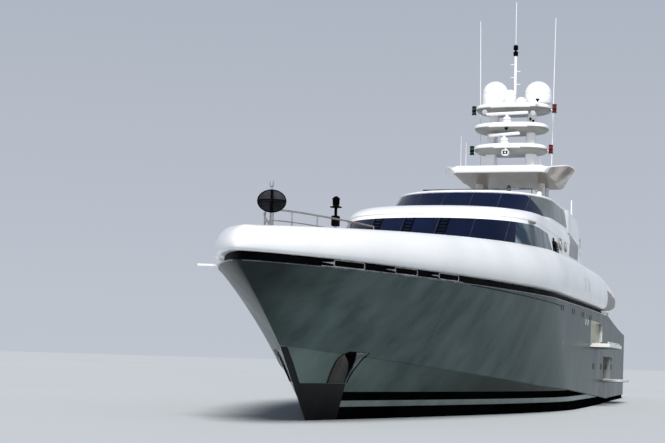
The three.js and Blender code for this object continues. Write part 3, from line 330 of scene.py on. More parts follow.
def piece(name, data, finishes, body="root", slot=None, stands_for=(), angle=32, kinds=None):
    """Turns a mesh or a shape into a piece that rides on a body."""
    data = data.mesh(name) if isinstance(data, Shape) else data
    data.name = name
    slots = [min(face.material_index, len(finishes) - 1) for face in data.polygons]
    data.materials.clear()
    for finish in finishes:
        data.materials.append(finish)
    for face, old in zip(data.polygons, slots):
        face.material_index = kinds(face.center / K, face.normal, old) if kinds else old
    net = bmesh.new()
    net.from_mesh(data)
    for edge in net.edges:
        edge.smooth = len(edge.link_faces) == 2 and edge.calc_face_angle() < math.radians(angle)
    for face in net.faces:
        face.smooth = True
    net.to_mesh(data)
    net.free()
    made = plain_object(name, data)
    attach(made, body)
    if stands_for:
        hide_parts(*stands_for)


def skin(node_name, data, finishes, **more):
    """The piece that takes a CAD node's place."""
    piece(f"{node_name}_skin", data, finishes, stands_for=[node_name], **more)


def dress(node_name, finish):
    """Gives a CAD node that stays a new finish."""
    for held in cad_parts[node_name].material_slots:
        held.material = finish


def clamp(v):
    return min(max(v, 0.0), 1.0)


def smooth(v):
    u = clamp(v)
    return u * u * (3 - 2 * u)


def span(v, a, b, to_a, to_b):
    return to_a + (to_b - to_a) * (v - a) / (b - a)


def value_at(points, v):
    """The value at v on straight lines between (v, value) points."""
    for (v0, a), (v1, b) in zip(points, points[1:]):
        if v0 <= v <= v1:
            return span(v, v0, v1, a, b) if v1 > v0 else a
    return points[-1][1] if v > points[-1][0] else points[0][1]


def curve(points, parts):
    """More points between the given ones, on a smooth curve through them all."""
    out = []
    for i in range(len(points) - 1):
        p = [points[max(i - 1, 0)], points[i], points[i + 1], points[min(i + 2, len(points) - 1)]]
        for u in (s / parts for s in range(parts)):
            weights = (-0.5 * u + u * u - 0.5 * u ** 3, 1 - 2.5 * u * u + 1.5 * u ** 3,
                       0.5 * u + 2 * u * u - 1.5 * u ** 3, -0.5 * u * u + 0.5 * u ** 3)
            out.append(tuple(sum(w * q[k] for w, q in zip(weights, p)) for k in range(len(p[0]))))
    return out + [tuple(points[-1])]


# ---- the yacht's lines, as in the CAD source
GAP = 0.0006
CLEAR = 0.012
RIM_BREAK_X, TRANSOM_X, STEM_X = -15, -27.9, 29.3
BAND_HEIGHT = 0.26
UPPER_DECK, MAIN_DECK = 5.6, 3.0
DECK_FACE = UPPER_DECK + GAP
BOAT_DECK, BOAT_DECK_AFT, BRIDGE_TOP = 8.85, 8.45, 8.2
HARDTOP = 12.3
HARDTOP_TOP = HARDTOP + 0.55


def row(x0, x1, run, half, p, q, stern, z, taper=-4, shape=None):
    """One line of a body: its ends, how it rounds to the bow, its half width and how it narrows aft."""
    return dict(x0=x0, x1=x1, run=run, half=half, p=p, q=q, stern=stern, z=z, taper=taper, shape=shape)


def row_half(r, x):
    reach = clamp((r["x0"] - x) / r["run"])
    share = (1 - (1 - reach) ** r["p"]) ** r["q"]
    return share * (r["half"] - (r["half"] - r["stern"]) * smooth((r["taper"] - x) / (r["taper"] - r["x1"])))


def row_z(r, x):
    return r["z"](x) if callable(r["z"]) else r["z"]


def rim_z(x):
    if x >= RIM_BREAK_X:
        return 4.57 + 0.006 * (STEM_X - x)
    return span(x, RIM_BREAK_X, TRANSOM_X, 4.57 + 0.006 * (STEM_X - RIM_BREAK_X), 4.1)


def band_top(x):
    return rim_z(x) + BAND_HEIGHT


def knuckle_z(x):
    return max(0.25, 1.135 + (x - 8.3) * (0.0695 if x > 8.3 else 0.0398))


def rise_aft(deep, high):
    return lambda x: deep + (high - deep) * smooth((-4 - x) / 23)


def ends(count, power=1.6, extra=()):
    return sorted({(i / count) ** power for i in range(count + 1)} | set(extra))


def row_points(r, t):
    x = r["x0"] + (r["x1"] - r["x0"]) * t
    y, z = (0 if t == 0 else row_half(r, x)), row_z(r, x)
    if r["shape"]:
        y, z = r["shape"](x, y, z)
    return x, y, z


def body(rows, stations, kind=0):
    """A closed solid, symmetric about the centreline, through rows of points that meet at the bow."""
    rings = []
    for t in stations:
        half = [row_points(r, t) for r in rows]
        rings.append(half + [(x, -y, z) for x, y, z in reversed(half)])
    stern = [(k - 2 * len(rows), k + 1 - 2 * len(rows), -2 - k, -1 - k) for k in range(len(rows) - 1)]
    return Shape().rings(rings, kind, caps=False).add([], stern, kind)


RIM = row(STEM_X, TRANSOM_X, 21.3, 5.73, 1.44, 0.73, 5.2, rim_z)
KNUCKLE = row(25.6, -27.7, 22, 5.66, 1.6, 1.05, 5.15, knuckle_z)
LEDGE = 0.08


def changed(r, **new):
    return {**r, **new}


def rim_like(fore, x1, out, stern_out, z, taper, shape=None):
    """A row like the rim's, moved forward and out."""
    return changed(RIM, x0=STEM_X + fore, x1=x1, half=RIM["half"] + out, stern=RIM["half"] + stern_out, z=z,
                   taper=taper, shape=shape)


def flare_row(s):
    mixed = {key: KNUCKLE[key] + (RIM[key] - KNUCKLE[key]) * s
             for key in ("x0", "x1", "run", "half", "p", "q", "stern", "taper")}
    return dict(mixed, z=lambda x: knuckle_z(x) + (rim_z(x) - knuckle_z(x)) * s, shape=None)


HULL_ROWS = [
    row(16.5, -26.4, 8, 0.35, 2, 1, 0.35, rise_aft(-3.2, -0.7)),
    row(20.6, -27, 24, 4.4, 1.8, 1.35, 4.3, rise_aft(-2.4, -0.58)),
    row(22.1, -27.3, 22, 5.35, 1.5, 1.15, 5, rise_aft(-1.3, -0.33)),
    row(22.9, -27.6, 22, 5.61, 1.45, 1.05, 5.1, 0),
    changed(KNUCKLE, half=KNUCKLE["half"] - LEDGE, stern=KNUCKLE["stern"] - LEDGE, x0=KNUCKLE["x0"] - LEDGE,
            z=lambda x: knuckle_z(x) - 0.02),
] + [flare_row(s) for s in (0, 0.1, 0.2, 0.3, 0.42, 0.54, 0.65, 0.77, 0.88, 1)]
RIM_KNOT = (STEM_X - RIM_BREAK_X) / (STEM_X - TRANSOM_X)


def inset_rows(by):
    return [changed(r, x0=r["x0"] - by, half=r["half"] - by, stern=r["stern"] - by) for r in HULL_ROWS]


def hull_y(x, z):
    """Half width of the hull at a place on its side."""
    return value_at([(row_z(r, x), row_half(r, x)) for r in HULL_ROWS], z)


# ---- hull
FOLD_OUTS = {
    "balcony": (-10.6, -4.4, 5.4, 3, 1.25),
    "side_platform": (-16.8, -11.6, 5.2, 1.25, 1.3),
}
POCKET = [(22.65, 1.2), (22.72, 1.6), (22.7, 1.9), (22.55, 2.09), (22.35, 2.2), (21.6, 2.2), (21.45, 2.05),
          (21.66, 1.6), (21.7, 1.2)]
PLATE = [(26.5, 2.27), (25.16, 2.27), (24.53, 1.75), (23.9, 1.18), (21.68, 1.18), (21.46, 0.54), (21.1, -0.5),
         (23, -0.5), (26.5, 0.6)]
COCKPIT_HALF, STERN_DOOR_HALF = 4.55, 0.7 + CLEAR
SHAFT_Y, FIN_LEAN = 2.4, math.radians(40)
PAINT_LEVELS = ((0.42, 2), (0.62, 3), (0.91, 2))  # top of each band, and its kind
HULL_STATIONS = ends(130, extra=(RIM_KNOT,))

half_plan = [(-29, -STERN_DOOR_HALF), (-26.5, -STERN_DOOR_HALF), (-26.5, -COCKPIT_HALF), (-18, -COCKPIT_HALF)]
cockpit_plan = half_plan + [(x, -y) for x, y in half_plan[::-1]]
cockpit = Shape().rings([[(x, y, z) for x, y in cockpit_plan] for z in (MAIN_DECK, 8)], 1)
recesses, pockets = Shape(), Shape()
for x0, x1, hinge_y, hinge_z, reach in FOLD_OUTS.values():
    recesses.box(x0 - CLEAR, x1 + CLEAR, hinge_y - 0.35, 7, hinge_z - 0.07 - GAP, hinge_z + reach + CLEAR, kind=1)
for _, side in SIDES:
    pockets.side_prism(POCKET, side * 0.3, side * 3, kind=1)
hull_mesh = body(HULL_ROWS, HULL_STATIONS).mesh("hull_shell")
for tool in (cockpit, recesses, pockets):
    hull_mesh = cut_mesh(hull_mesh, tool)

net = bmesh.new()
net.from_mesh(hull_mesh)
for level, _ in PAINT_LEVELS:
    bmesh.ops.bisect_plane(net, geom=net.verts[:] + net.edges[:] + net.faces[:], dist=1e-6,
                           plane_co=(0, 0, level * K), plane_no=(0, 0, 1))
net.to_mesh(hull_mesh)
net.free()


def hull_kind(at, normal, before):
    # 0 topsides, 1 below the knuckle in painted shade, 2 boot top, 3 stripe, 4 bottom, 5 deck, 6 white, 7 dark as
    # painted shadow in the anchor pockets, 8 liner, 9 recess with painted reflections
    if before == 1:
        if at.x < -17.9:
            return 5 if normal.z > 0.7 else 6
        return 7 if at.x > 20 else 9 if at.x > -11 else 8
    if normal.z > 0.8 and at.z > 4:
        return 6
    if at.z < 0.02:
        return 4
    if at.z > knuckle_z(at.x) - 0.015:
        return 0
    return next((kind for top, kind in PAINT_LEVELS if at.z < top), 1)


piece("hull_shell", hull_mesh, [HULL_PAINTED_LIGHT, HULL_LOW_PAINTED_SHADE, BOOT, STRIPE, BOTTOM, TEAK, WHITE, SHADOW, LINER_AND_SHADE_GREY, RECESS_PAINTED_REFLECTION],
      stands_for=["hull"], kinds=hull_kind)

gear = Shape()
for _, side in SIDES:
    gear.tube([(x, side * SHAFT_Y, span(x, -12.5, -24.3, -2.0, -2.5)) for x in (-12.4, -14.9)], 0.19, sides=20)
    gear.tube([(-25.9, side * SHAFT_Y, z) for z in (-0.85 + GAP, -0.3)], 0.3, sides=24)
    gear.tube([(-1.5, side * (5 + math.cos(FIN_LEAN) * d), -1.95 - math.sin(FIN_LEAN) * d) for d in (-0.8, -GAP)],
              0.32, sides=24)
piece("hull_bosses", gear, [BOTTOM])

# Stainless plates on the stem, a hair proud of the paint; their near-black streaked colour is a painted dark reflection
plate_mesh = cut_mesh(body(inset_rows(-0.006), HULL_STATIONS).mesh("stem_plating"), pockets)
plate_mesh = cut_mesh(plate_mesh, Shape().side_prism(PLATE, -4, 4), "INTERSECT")
plate_mesh = cut_mesh(plate_mesh, body(inset_rows(0.02), HULL_STATIONS))
piece("stem_plating", plate_mesh, [MIRROR_PAINTED_REFLECTION], stands_for=["stem_plate"])

POCKET_FRONT = [(22.65, 1.19), (22.72, 1.6), (22.7, 1.9), (22.55, 2.09), (22.35, 2.19)]
POCKET_AFT = [(21.7, 1.19), (21.66, 1.6), (21.45, 2.05), (21.44, 2.19)]
PLATE_AFT = [(21.72, 1.19), (21.79, 1.36), (21.87, 1.61), (22.04, 1.87), (22.38, 2.09), (22.45, 2.19)]
BEVEL_FORE = [(21.73, 1.19), (21.76, 1.4), (21.76, 1.6), (21.74, 1.8), (21.78, 1.95), (21.86, 2.05), (21.95, 2.13),
              (22.02, 2.19)]

# In each anchor pocket the anchor's plate fills the front half, dark and streaked as a painted reflection, and a bright
# bevel runs down the aft edge; black tubes along the pocket's edges are painted shade
plates_in, bevels, pocket_shade_lines = Shape(), Shape(), Shape()
for _, side in SIDES:
    for shape, inset, edges in (
            (plates_in, 0.05, ([(x - 0.03, z) for x, z in POCKET_FRONT], PLATE_AFT)),
            (bevels, 0.004, (BEVEL_FORE, POCKET_AFT))):
        edges = [[(z, x) for x, z in edge] for edge in edges]
        lines = [[(x, z) for x in steps(*(value_at(edge, z) for edge in edges), 5)] for z in steps(1.2, 2.18, 12)]
        shape.sheet(side, lines, hull_y, -inset, -inset - 0.03)
    for line in (POCKET_FRONT, POCKET_AFT):
        pocket_shade_lines.tube([(x, side * (hull_y(x, z) + 0.004), z) for x, z in curve(line, 5)], 0.014, sides=6)
piece("anchor_pocket_plates", plates_in, [POCKET_STEEL_PAINTED_REFLECTION])
piece("anchor_pocket_bevels", bevels, [DARK_STEEL])
piece("anchor_pocket_shade_lines", pocket_shade_lines, [BLACK])

# Rail along the rim, and under it a fine black line of painted shade standing for a groove
rim_rail, groove_shade_line = Shape(), Shape()
for _, side in SIDES:
    xs = [29.22 - (29.22 + 12.6) * share ** 1.5 for share in steps(0, 1, 110)]
    rim_rail.tube([(x, side * (row_half(RIM, x) + 0.004), rim_z(x) - 0.008) for x in xs], 0.02)
    line = [(x, span(x, 18.1, 6.65, 4.61, 4.45)) for x in steps(18.1, 6.65, 40)]
    groove_shade_line.tube([(x, side * (hull_y(x, z) + 0.002), z) for x, z in line], 0.014, sides=6)
piece("rim_rail", rim_rail, [DARK_STEEL])
piece("hull_groove_shade_line", groove_shade_line, [BLACK])

portholes = Shape()


def hull_patch(side, foot, head, low, high, kind=0):
    """A thin raised patch on the hull; foot and head are x, fore and aft."""
    corners = [(foot[0], low), (foot[1], low), (head[1], high), (head[0], high)]
    portholes.sheet(side, patch(corners, 3, 3), hull_y, 0.012, -0.03, kind)


for _, side in SIDES:
    for x, z, high in [(6.6, 4.4, 0.24), (2.9, 4.4, 0.24), (-0.5, 4.4, 0.24), (-3.6, 4.36, 0.24),
                       (-5.6, 2.0, 0.3), (-9.8, 2.0, 0.3), (-13.4, 2.0, 0.3), (-17.5, 2.0, 0.3)]:
        for fore in (x, x - 0.62):
            hull_patch(side, (fore, fore - 0.13), (fore - 0.12, fore - 0.25), z - high / 2, z + high / 2)
    for x in (-2.1, -3.0):
        hull_patch(side, (x, x - 0.12), (x - 0.2, x - 0.32), 3.97, 4.24, kind=1)
portholes.sheet(1, patch([(-16.7, 2.55), (-18.5, 2.52), (-18.1, 2.32), (-17.9, 2.32)], 3, 3), hull_y, 0.012, -0.03)
piece("portholes", portholes, [SHADOW, SATIN])

# ---- mooring band, fairleads
# The recessed band is black paint, drawn near black also as painted shade in the recess under the collar
band_rows = [rim_like(-0.3, -12.6, -0.22, -0.4, z, 0) for z in (lambda x: rim_z(x) + GAP, band_top)]
skin("mooring_band", body(band_rows, ends(120)), [BLACK])


def rim_slope(x):
    return (row_half(RIM, x + 0.05) - row_half(RIM, x - 0.05)) / 0.1


def on_rim(x, side, out):
    """A place on the rim, moved straight out from it."""
    length = math.hypot(1, rim_slope(x))
    return x - rim_slope(x) / length * out, side * (row_half(RIM, x) + out / length)


LOOP_LOW, LOOP_HIGH, LOOP_CORNER = 0.035, 0.235, 0.07
for name, side in SIDES:
    frames = Shape()
    fore = 26.6 if side > 0 else 24.4
    for aft_post, fore_post in ((24.7, 26.1), (21.8, 23.1), (19.0, 20.4)):
        if fore_post > fore:
            continue
        loop = []
        for x, z, start in ((fore_post - LOOP_CORNER, LOOP_HIGH - LOOP_CORNER, 0),
                            (aft_post + LOOP_CORNER, LOOP_HIGH - LOOP_CORNER, 90),
                            (aft_post + LOOP_CORNER, LOOP_LOW + LOOP_CORNER, 180),
                            (fore_post - LOOP_CORNER, LOOP_LOW + LOOP_CORNER, 270)):
            for a in steps(math.radians(start), math.radians(start + 90), 4):
                px, py = on_rim(x + LOOP_CORNER * math.cos(a), side, -0.04)
                loop.append((px, py, rim_z(px) + z + LOOP_CORNER * math.sin(a)))
        frames.tube(loop, 0.02, around=True, sides=10)
        spike = [on_rim(fore_post + reach, side, -0.03) for reach in (0.02, 0.2, 0.5)]
        frames.tube([(px, py, rim_z(px) + 0.13) for px, py in spike], [0.04, 0.022, 0.006])
    foot = [on_rim(x, side, -0.06) for x in steps(fore, 18.6, 24)]
    frames.tube([(px, py, rim_z(px) + 0.026) for px, py in foot], 0.016)
    piece(f"fairlead_frames_{name}", frames, [FRAME_STEEL], stands_for=[f"fairleads_{name}"])

# ---- collar
COLLAR_END_X, COLLAR_SHADE_X, COLLAR_MIDDLE = -16.4, -10.0, 5.68
TIP_TOP_X, TIP_FOOT_X, TIP_SIDE_X = -8.8, -12.5, -13.8


def collar_top(x):
    return 5.6 + 1.28 * (1 - (1 - clamp((28.5 - x) / 30.5)) ** 1.8)


def tip_share(x, start):
    u = clamp((start - x) / (start - COLLAR_END_X))
    return max(0.03, math.sqrt(1 - u * u))


def collar_level(x, z):
    """A height on the collar, drawn in to its middle where it rounds off aft."""
    return COLLAR_MIDDLE + (z - COLLAR_MIDDLE) * tip_share(x, TIP_TOP_X if z > COLLAR_MIDDLE else TIP_FOOT_X)


def close_collar(x, y, z):
    return min(y, 5.62 + (y - 5.62) * tip_share(x, TIP_SIDE_X)), collar_level(x, z)


SECTION = [(0, 0, 0), (0.17, 0.12, 0.08), (0.24, 0.14, 0.3), (0.2, 0.05, 0.55), (0.06, -0.16, 0.8),
           (-0.16, -0.42, 0.95), (-0.35, -0.68, 1)]


def collar_row(out, fore, share):
    return rim_like(fore, COLLAR_END_X, out, out - 0.1,
                    lambda x: band_top(x) + GAP + (collar_top(x) - band_top(x)) * min(share, 1), -6, close_collar)


COLLAR_ROWS = [collar_row(*point) for point in curve(SECTION, 4)]
tip_stations = [1 - 0.26 * (1 - share) ** 2 for share in steps(0, 1, 40)]
collar_stations = sorted(set([t for t in ends(140) if t < 0.735] + tip_stations))
well = [rim_like(-1.2, COLLAR_END_X - 2, -0.55, -0.65, z, 0) for z in (3, 9)]
collar_mesh = cut_mesh(body(COLLAR_ROWS, collar_stations).mesh("collar_shell"), body(well, ends(120), kind=1))

FLAP_X, FLAP_Z, FLAP_HALF, FLAP_REACH = 25.4, 4.6429, 0.65, 0.66
flap_turn = Matrix.Translation((*on_rim(FLAP_X, -1, -0.05), FLAP_Z)) @ Matrix.Rotation(
    math.atan2(-1, -rim_slope(FLAP_X)) - math.pi / 2, 4, "Z")
flap_hole = Shape().box(-FLAP_HALF - CLEAR, FLAP_HALF + CLEAR, -0.12, 1, 0, FLAP_REACH + CLEAR)
collar_mesh = cut_mesh(collar_mesh, Shape().turned(flap_hole, flap_turn, kind=1))


def collar_kind(at, normal, before):
    """Painted shade: grey on the lower part of the outside near the aft end."""
    low, high = collar_level(at.x, band_top(at.x)), collar_level(at.x, collar_top(at.x))
    return 2 if before == 0 and at.x < COLLAR_SHADE_X and at.z < low + 0.55 * (high - low) else before


piece("collar_shell", collar_mesh, [WHITE, SATIN, LINER_AND_SHADE_GREY], stands_for=["collar"], angle=40, kinds=collar_kind)


def collar_y(x, share):
    """Half width and height of the collar's outside."""
    points = [row_points(r, (r["x0"] - x) / (r["x0"] - r["x1"]))[1:] for r in COLLAR_ROWS]
    place = share * (len(points) - 1)
    i = min(int(place), len(points) - 2)
    return between(points[i], points[i + 1], place - i)


# Fine seams of the side gate in the collar
seams = Shape()
for _, side in SIDES:
    for x, highest in ((0.0, 6.13), (-1.45, 6.1)):
        line = [collar_y(x, share) for share in steps(0.2, 0.8, 30)]
        seams.tube([(x, side * (y + 0.002), z) for y, z in line if 5.44 <= z <= highest], 0.012, sides=6)
piece("gate_seams", seams, [LINER_AND_SHADE_GREY])

# ---- upper deck
dress("upper_deck", two_faced(TEAK, "upper_deck_finish", True, 0.7, (236, 237, 237)))

# ---- superstructure
FRONT_P, FRONT_Q, WALL, GLASS_THICK = 2.4, 0.42, 0.14, 0.03
BRIDGE_FOOT, BRIDGE_HEAD = (10.3, 4.62, DECK_FACE), (7.9, 4.29, 8.05)
TIERS = {
    "bridge": dict(rows=[BRIDGE_FOOT, (9.2, 4.43, 7.0), BRIDGE_HEAD, (7.8, 4.27, BRIDGE_TOP)], run=4.7, stern=-11.0,
                   low=7.05, high=8.04, front=(0.75, 2.2, 3.5), corner=3.75),
    "sky": dict(rows=[(2.3, 4.05, BOAT_DECK + GAP), (2.1, 4.02, 8.96), (0.4, 3.87, 10), (0.3, 3.85, 10.1)], run=4.6,
                stern=-8.6, low=8.99, high=10.07, front=(0.67, 1.95, 3.15), corner=-1.3),
}


def house_rows(points, run, stern, taper, stern_in=0.0):
    """Rows with the round front that the houses and the decks over them share."""
    return [row(x0, stern, run, half, FRONT_P, FRONT_Q, half - stern_in, z, taper=taper) for x0, half, z in points]


def tier_body(spec, inset=0.0, kind=0, stern=0.0, low=0.0, roof=None):
    """The tier's outside moved in by inset, with its foot lower by low, or with another roof height."""
    points = list(spec["rows"])
    points[0] = between(points[0], points[1], -low / (points[1][2] - points[0][2]))
    if roof:
        points[2:] = [(*points[2][:2], roof)]
    moved = [(x0 - inset * 1.6, half - inset, z) for x0, half, z in points]
    return body(house_rows(moved, spec["run"], spec["stern"] + stern, -6), ends(90, 2.4), kind)


def tier_shell(spec):
    inside = tier_body(spec, WALL, 1, WALL, 0.5, spec["rows"][3][2] - WALL + 0.02)
    return cut_mesh(tier_body(spec).mesh("tier"), inside)


DOOR_X0, DOOR_X1, DOOR_Z0, DOOR_Z1, DOOR_LAP, DOOR_SLIDE = -1.65, -0.3, 5.8, 7.84, 0.08, 1.3
WALL_LEAN = math.atan2(BRIDGE_FOOT[1] - BRIDGE_HEAD[1], BRIDGE_HEAD[2] - DECK_FACE)
DOOR_HEIGHT = (DOOR_Z1 - DOOR_Z0) / math.cos(WALL_LEAN)
INNER_FACE = -WALL * math.cos(WALL_LEAN)
DOOR_TURN = Matrix.Translation((0, BRIDGE_FOOT[1] - (DOOR_Z0 - DECK_FACE) * math.tan(WALL_LEAN), DOOR_Z0)) \
    @ Matrix.Rotation(WALL_LEAN, 4, "X")

# Door holes and tracks, set against the leaning side wall from its outer face
door_holes, tracks = Shape(), Shape()
for _, side in SIDES:
    hole = Shape().box(DOOR_X0, DOOR_X1, -0.5, 0.5, 0, DOOR_HEIGHT)
    door_holes.turned(hole, DOOR_TURN, kind=1, side=side)
    track = Shape().box(DOOR_X0 - DOOR_LAP - DOOR_SLIDE, DOOR_X1 + DOOR_LAP, INNER_FACE - 0.1, INNER_FACE + 0.02,
                        DOOR_HEIGHT + 0.04, DOOR_HEIGHT + 0.1, edge=0.008)
    tracks.turned(track, DOOR_TURN, side=side)
bridge, sky = TIERS["bridge"], TIERS["sky"]
piece("bridge_shell", cut_mesh(tier_shell(bridge), door_holes), [WHITE, SATIN], stands_for=["bridge_house"], angle=30)
piece("door_tracks", tracks, [STEEL])
piece("sky_shell", tier_shell(sky), [WHITE, SATIN], stands_for=["sky_house"], angle=30)


def glass_band(name, spec, cutter, finishes, proud=0.012, **more):
    """Glass over the tier's outside, within the cutter's shape."""
    band_mesh = cut_mesh(tier_body(spec, -proud).mesh(name), cutter, "INTERSECT")
    band_mesh = cut_mesh(band_mesh, tier_body(spec, -proud + GLASS_THICK, stern=-0.5, low=0.3))
    piece(name, band_mesh, finishes, angle=30, **more)


bridge_outline = [(-0.15, 7.2), (0.95, bridge["high"]), (12, bridge["high"]), (12, bridge["low"]), (3, 7.05)]
# The side and aft panes of the bridge windows take the glass with painted reflection
glass_band("bridge_windows", bridge, Shape().side_prism(bridge_outline, -7, 7), [GLASS, GLASS_PAINTED_REFLECTION],
           stands_for=["bridge_glass"], kinds=lambda at, normal, before: int(at.x < 3.75 or abs(at.y) > 3.8))
SIDE_LINE = [(7.0, 4.43), (7.6, 4.36), (8.05, 4.29), (8.2, 4.275), (8.3, 4.27), (8.5, 4.22), (8.72, 4.16),
             (8.85, 4.1), (9.1, 4.03)]


def side_y(z):
    """Half width of the white side from the bridge house up to the sky house."""
    return value_at(SIDE_LINE, z)


def side_panel(shape, side, corners, out, back=-0.02, kind=0, rows=4, along=4):
    """A thin panel on the white side between four corners, (x, z): fore foot, aft foot, aft head, fore head."""
    shape.sheet(side, patch(corners, rows, along), lambda x, z: side_y(z), out, back, kind)


aft_panes = Shape()
for _, side in SIDES:
    side_panel(aft_panes, side, [(-6.4, 7.62), (-9.7, 7.66), (-10.9, 8.5), (-8.14, 8.96)], 0.025, -0.03,
               rows=12, along=6)
piece("bridge_aft_windows", aft_panes, [SIDE_GLASS], stands_for=["aft_window_port", "aft_window_starboard"])

sky_outline = [(4, sky["low"]), (4, 10.07), (-0.95, 10.07), (-0.85, 9.05), (0.5, sky["low"])]
glass_band("sky_windows", sky, Shape().side_prism(sky_outline[::-1], -7, 7), [GLASS], stands_for=["sky_glass"])
sky_aft = [(-0.87, 9.05), (-0.97, 10.07), (-7.6, 10.07), (-7.95, 9.95), (-8.02, 9.8), (-7.87, 9.2), (-5.3, 9.17),
           (-2.5, 9.12)]
glass_band("sky_aft_windows", sky, Shape().side_prism(sky_aft, 3, 7).side_prism(sky_aft, -7, -3), [SIDE_GLASS])

# Joints between the front panes, and dark ladders on three of them
for name, spec in TIERS.items():
    joints = Shape()
    for y in spec["front"]:
        for s in (1, -1):
            joints.box(spec["corner"], 14, s * y - 0.02, s * y + 0.02, spec["low"], spec["high"])
    glass_band(f"{name}_pane_joints", spec, joints, [SEAL], 0.02)
ladders = Shape()
for y in (0.8, -0.7, -2.15):
    for upright in (y, y + 0.34):
        ladders.box(3, 14, upright, upright + 0.07, bridge["low"], bridge["high"])
    for z in steps(7.2, 7.84, 4):
        ladders.box(3, 14, y + 0.08, y + 0.33, z, z + 0.07)
glass_band("bridge_window_ladders", bridge, ladders, [BLACK], 0.022)

# Boat deck with the hood over the bridge windows, and the sky house's roof
BOAT_ROWS = [(7.8, 4.27, BRIDGE_TOP + GAP), (7.78, 4.27, 8.3), (7.45, 4.22, 8.5), (6.6, 4.16, 8.72),
             (4.6, 4.1, BOAT_DECK)]
ROOF_ROWS = [(0.34, 3.87, 10.1 + GAP), (0.32, 3.87, 10.16), (0.1, 3.78, 10.23), (-0.6, 3.5, 10.3)]
boat_mesh = body(house_rows(curve(BOAT_ROWS, 4), 4.7, -20, -11, 1.15), ends(120, 2.2)).mesh("boat_deck_slab")
boat_mesh = cut_mesh(boat_mesh, Shape().box(-22, -11, -6, 6, BOAT_DECK_AFT, 10, kind=1))
piece("boat_deck_slab", boat_mesh, [WHITE, TEAK], stands_for=["boat_deck"], angle=30,
      kinds=lambda at, normal, before: int(normal.z > 0.9 and (before == 1 or at.x < -8.7)))
posts = Shape()
for _, side in SIDES:
    posts.lathe([(0.13, DECK_FACE), (0.13, 5.65), (0.08, 5.72), (0.08, 8.1), (0.12, 8.2), (0.12, 8.3)], -19.2,
                side * 2.9, sides=24)
piece("boat_deck_posts", posts, [WHITE])
roof_shape = body(house_rows(curve(ROOF_ROWS, 4), 4.6, -8.7, -6), ends(90, 2.2))
piece("sky_roof_slab", roof_shape, [WHITE], stands_for=["sky_roof"], angle=30)

# Side plates that carry the sky house's lines aft
plates = Shape()
PLATE_OUT = 4.02
PLATE_CURVE = curve([(-13.12, 8.4506), (-13.2, 8.6), (-13.16, 8.85), (-13.06, 9.1), (-12.9, 9.38), (-12.6, 9.63),
                     (-12.1, 9.83), (-11.4, 9.98), (-10, 10.1), (-8.4, 10.18)], 4)
plate_outline = [(-8.4, 8.8506), (-11.01, 8.8506), (-11.01, 8.4506)] + PLATE_CURVE
for _, side in SIDES:
    plates.side_prism(plate_outline, side * 3.872, side * PLATE_OUT)
    wedge = []
    for x, share, proud in ((-7.78, 0, -0.02), (-8.0, 0.03, 0.004), (-8.1, 0.25, 0.006), (-8.25, 0.75, 0.006),
                            (-8.42, 1, 0.004)):
        outer = [(PLATE_OUT - (z - 8.96) * 0.144 * (1 - share) + proud, z) for z in (8.9, 9.5, 10.19)]
        wedge.append([(x, side * y, z) for y, z in outer + [(3.75, 10.19), (3.75, 8.9)]])
    plates.rings(wedge)
piece("side_plates", plates, [WHITE], angle=30)

fittings = Shape()
ROOF_LINE = [(-5.4, -2.5, 10.52), (-2.9, -2.5, 10.56), (-2.6, -2.2, 10.57), (-2.6, 0.3, 10.59), (-2.6, 2.75, 10.6),
             (-2.9, 3.05, 10.59), (-5.4, 3.05, 10.55)]
fittings.tube(curve(ROOF_LINE, 4), 0.035, kind=1, sides=10)
for x, y in ((-5.2, -2.5), (-2.75, -2.4), (-2.6, -1.6), (-2.6, -0.1), (-2.6, 1.4), (-2.75, 2.95), (-5.2, 3.05)):
    fittings.lathe([(0.06, 0), (0.06, 0.13), (0.022, 0.15), (0.022, 0.38)], x, y, 10.2, kind=1, sides=10)
fittings.lathe([(0.12, 0), (0.12, 0.16), (0.05, 0.2), (0.05, 0.32), (0.1, 0.35), (0.1, 0.6), (0.03, 0.66)], -3.1, 1.75,
               10.2, kind=1, sides=16)
fittings.lathe([(0.12, 0), (0.12, 0.18), (0.1, 0.25), (0.06, 0.29), (0.01, 0.3)], -2.1, 3.42, 10.1)
for _, side in SIDES:
    fittings.lathe([(0.07, 0), (0.07, 0.06), (0.045, 0.08), (0.045, 0.78), (0.02, 0.8)], -9.9, side * 3.97, 10.1,
                   sides=12)
    fittings.lathe([(0.05, 5.66), (0.05, 7.0), (0.02, 7.04)], -13.6, side * 4.55, sides=10)
piece("roof_fittings", fittings, [WHITE, DARK_STEEL], slot="stainless")

marks = Shape()
for _, side in SIDES:
    side_panel(marks, side, [(-1.0, 7.2), (-1.97, 7.2), (-2.0, 7.87), (-1.05, 7.87)], 0.05)
    side_panel(marks, side, [(-0.7, 7.7), (-0.95, 7.7), (-0.95, 8.0), (-0.7, 8.0)], 0.04)
    for z in (7.3, 7.42, 7.55, 7.68, 7.8):
        side_panel(marks, side, [(-1.55, z), (-1.72, z), (-1.72, z + 0.05), (-1.55, z + 0.05)], 0.055, kind=1)
    for x, z, wide, high in ((-3.1, 7.92, 0.4, 0.27), (-5.0, 7.94, 0.26, 0.22)):
        ring = [(x + wide * math.cos(a), z + high * math.sin(a)) for a in turns(24)]
        marks.tube([(px, side * (side_y(pz) + 0.03), pz) for px, pz in ring], 0.04, kind=2, around=True)
        marks.tube([(x, side * (side_y(z) + out), z) for out in (-0.01, 0.05)], 0.15, kind=3, sides=16)
    brow = curve([(5.1, 4.09), (4.8, 4.17), (4.45, 4.25)], 4)
    marks.tube([(x, side * y, 8.17) for x, y in brow], 0.06, kind=2, sides=10)
piece("side_fittings", marks, [BLACK, LENS, LINER_AND_SHADE_GREY, SATIN])

# Guard rails, and dark glass doors where the houses look aft
rails = Shape()


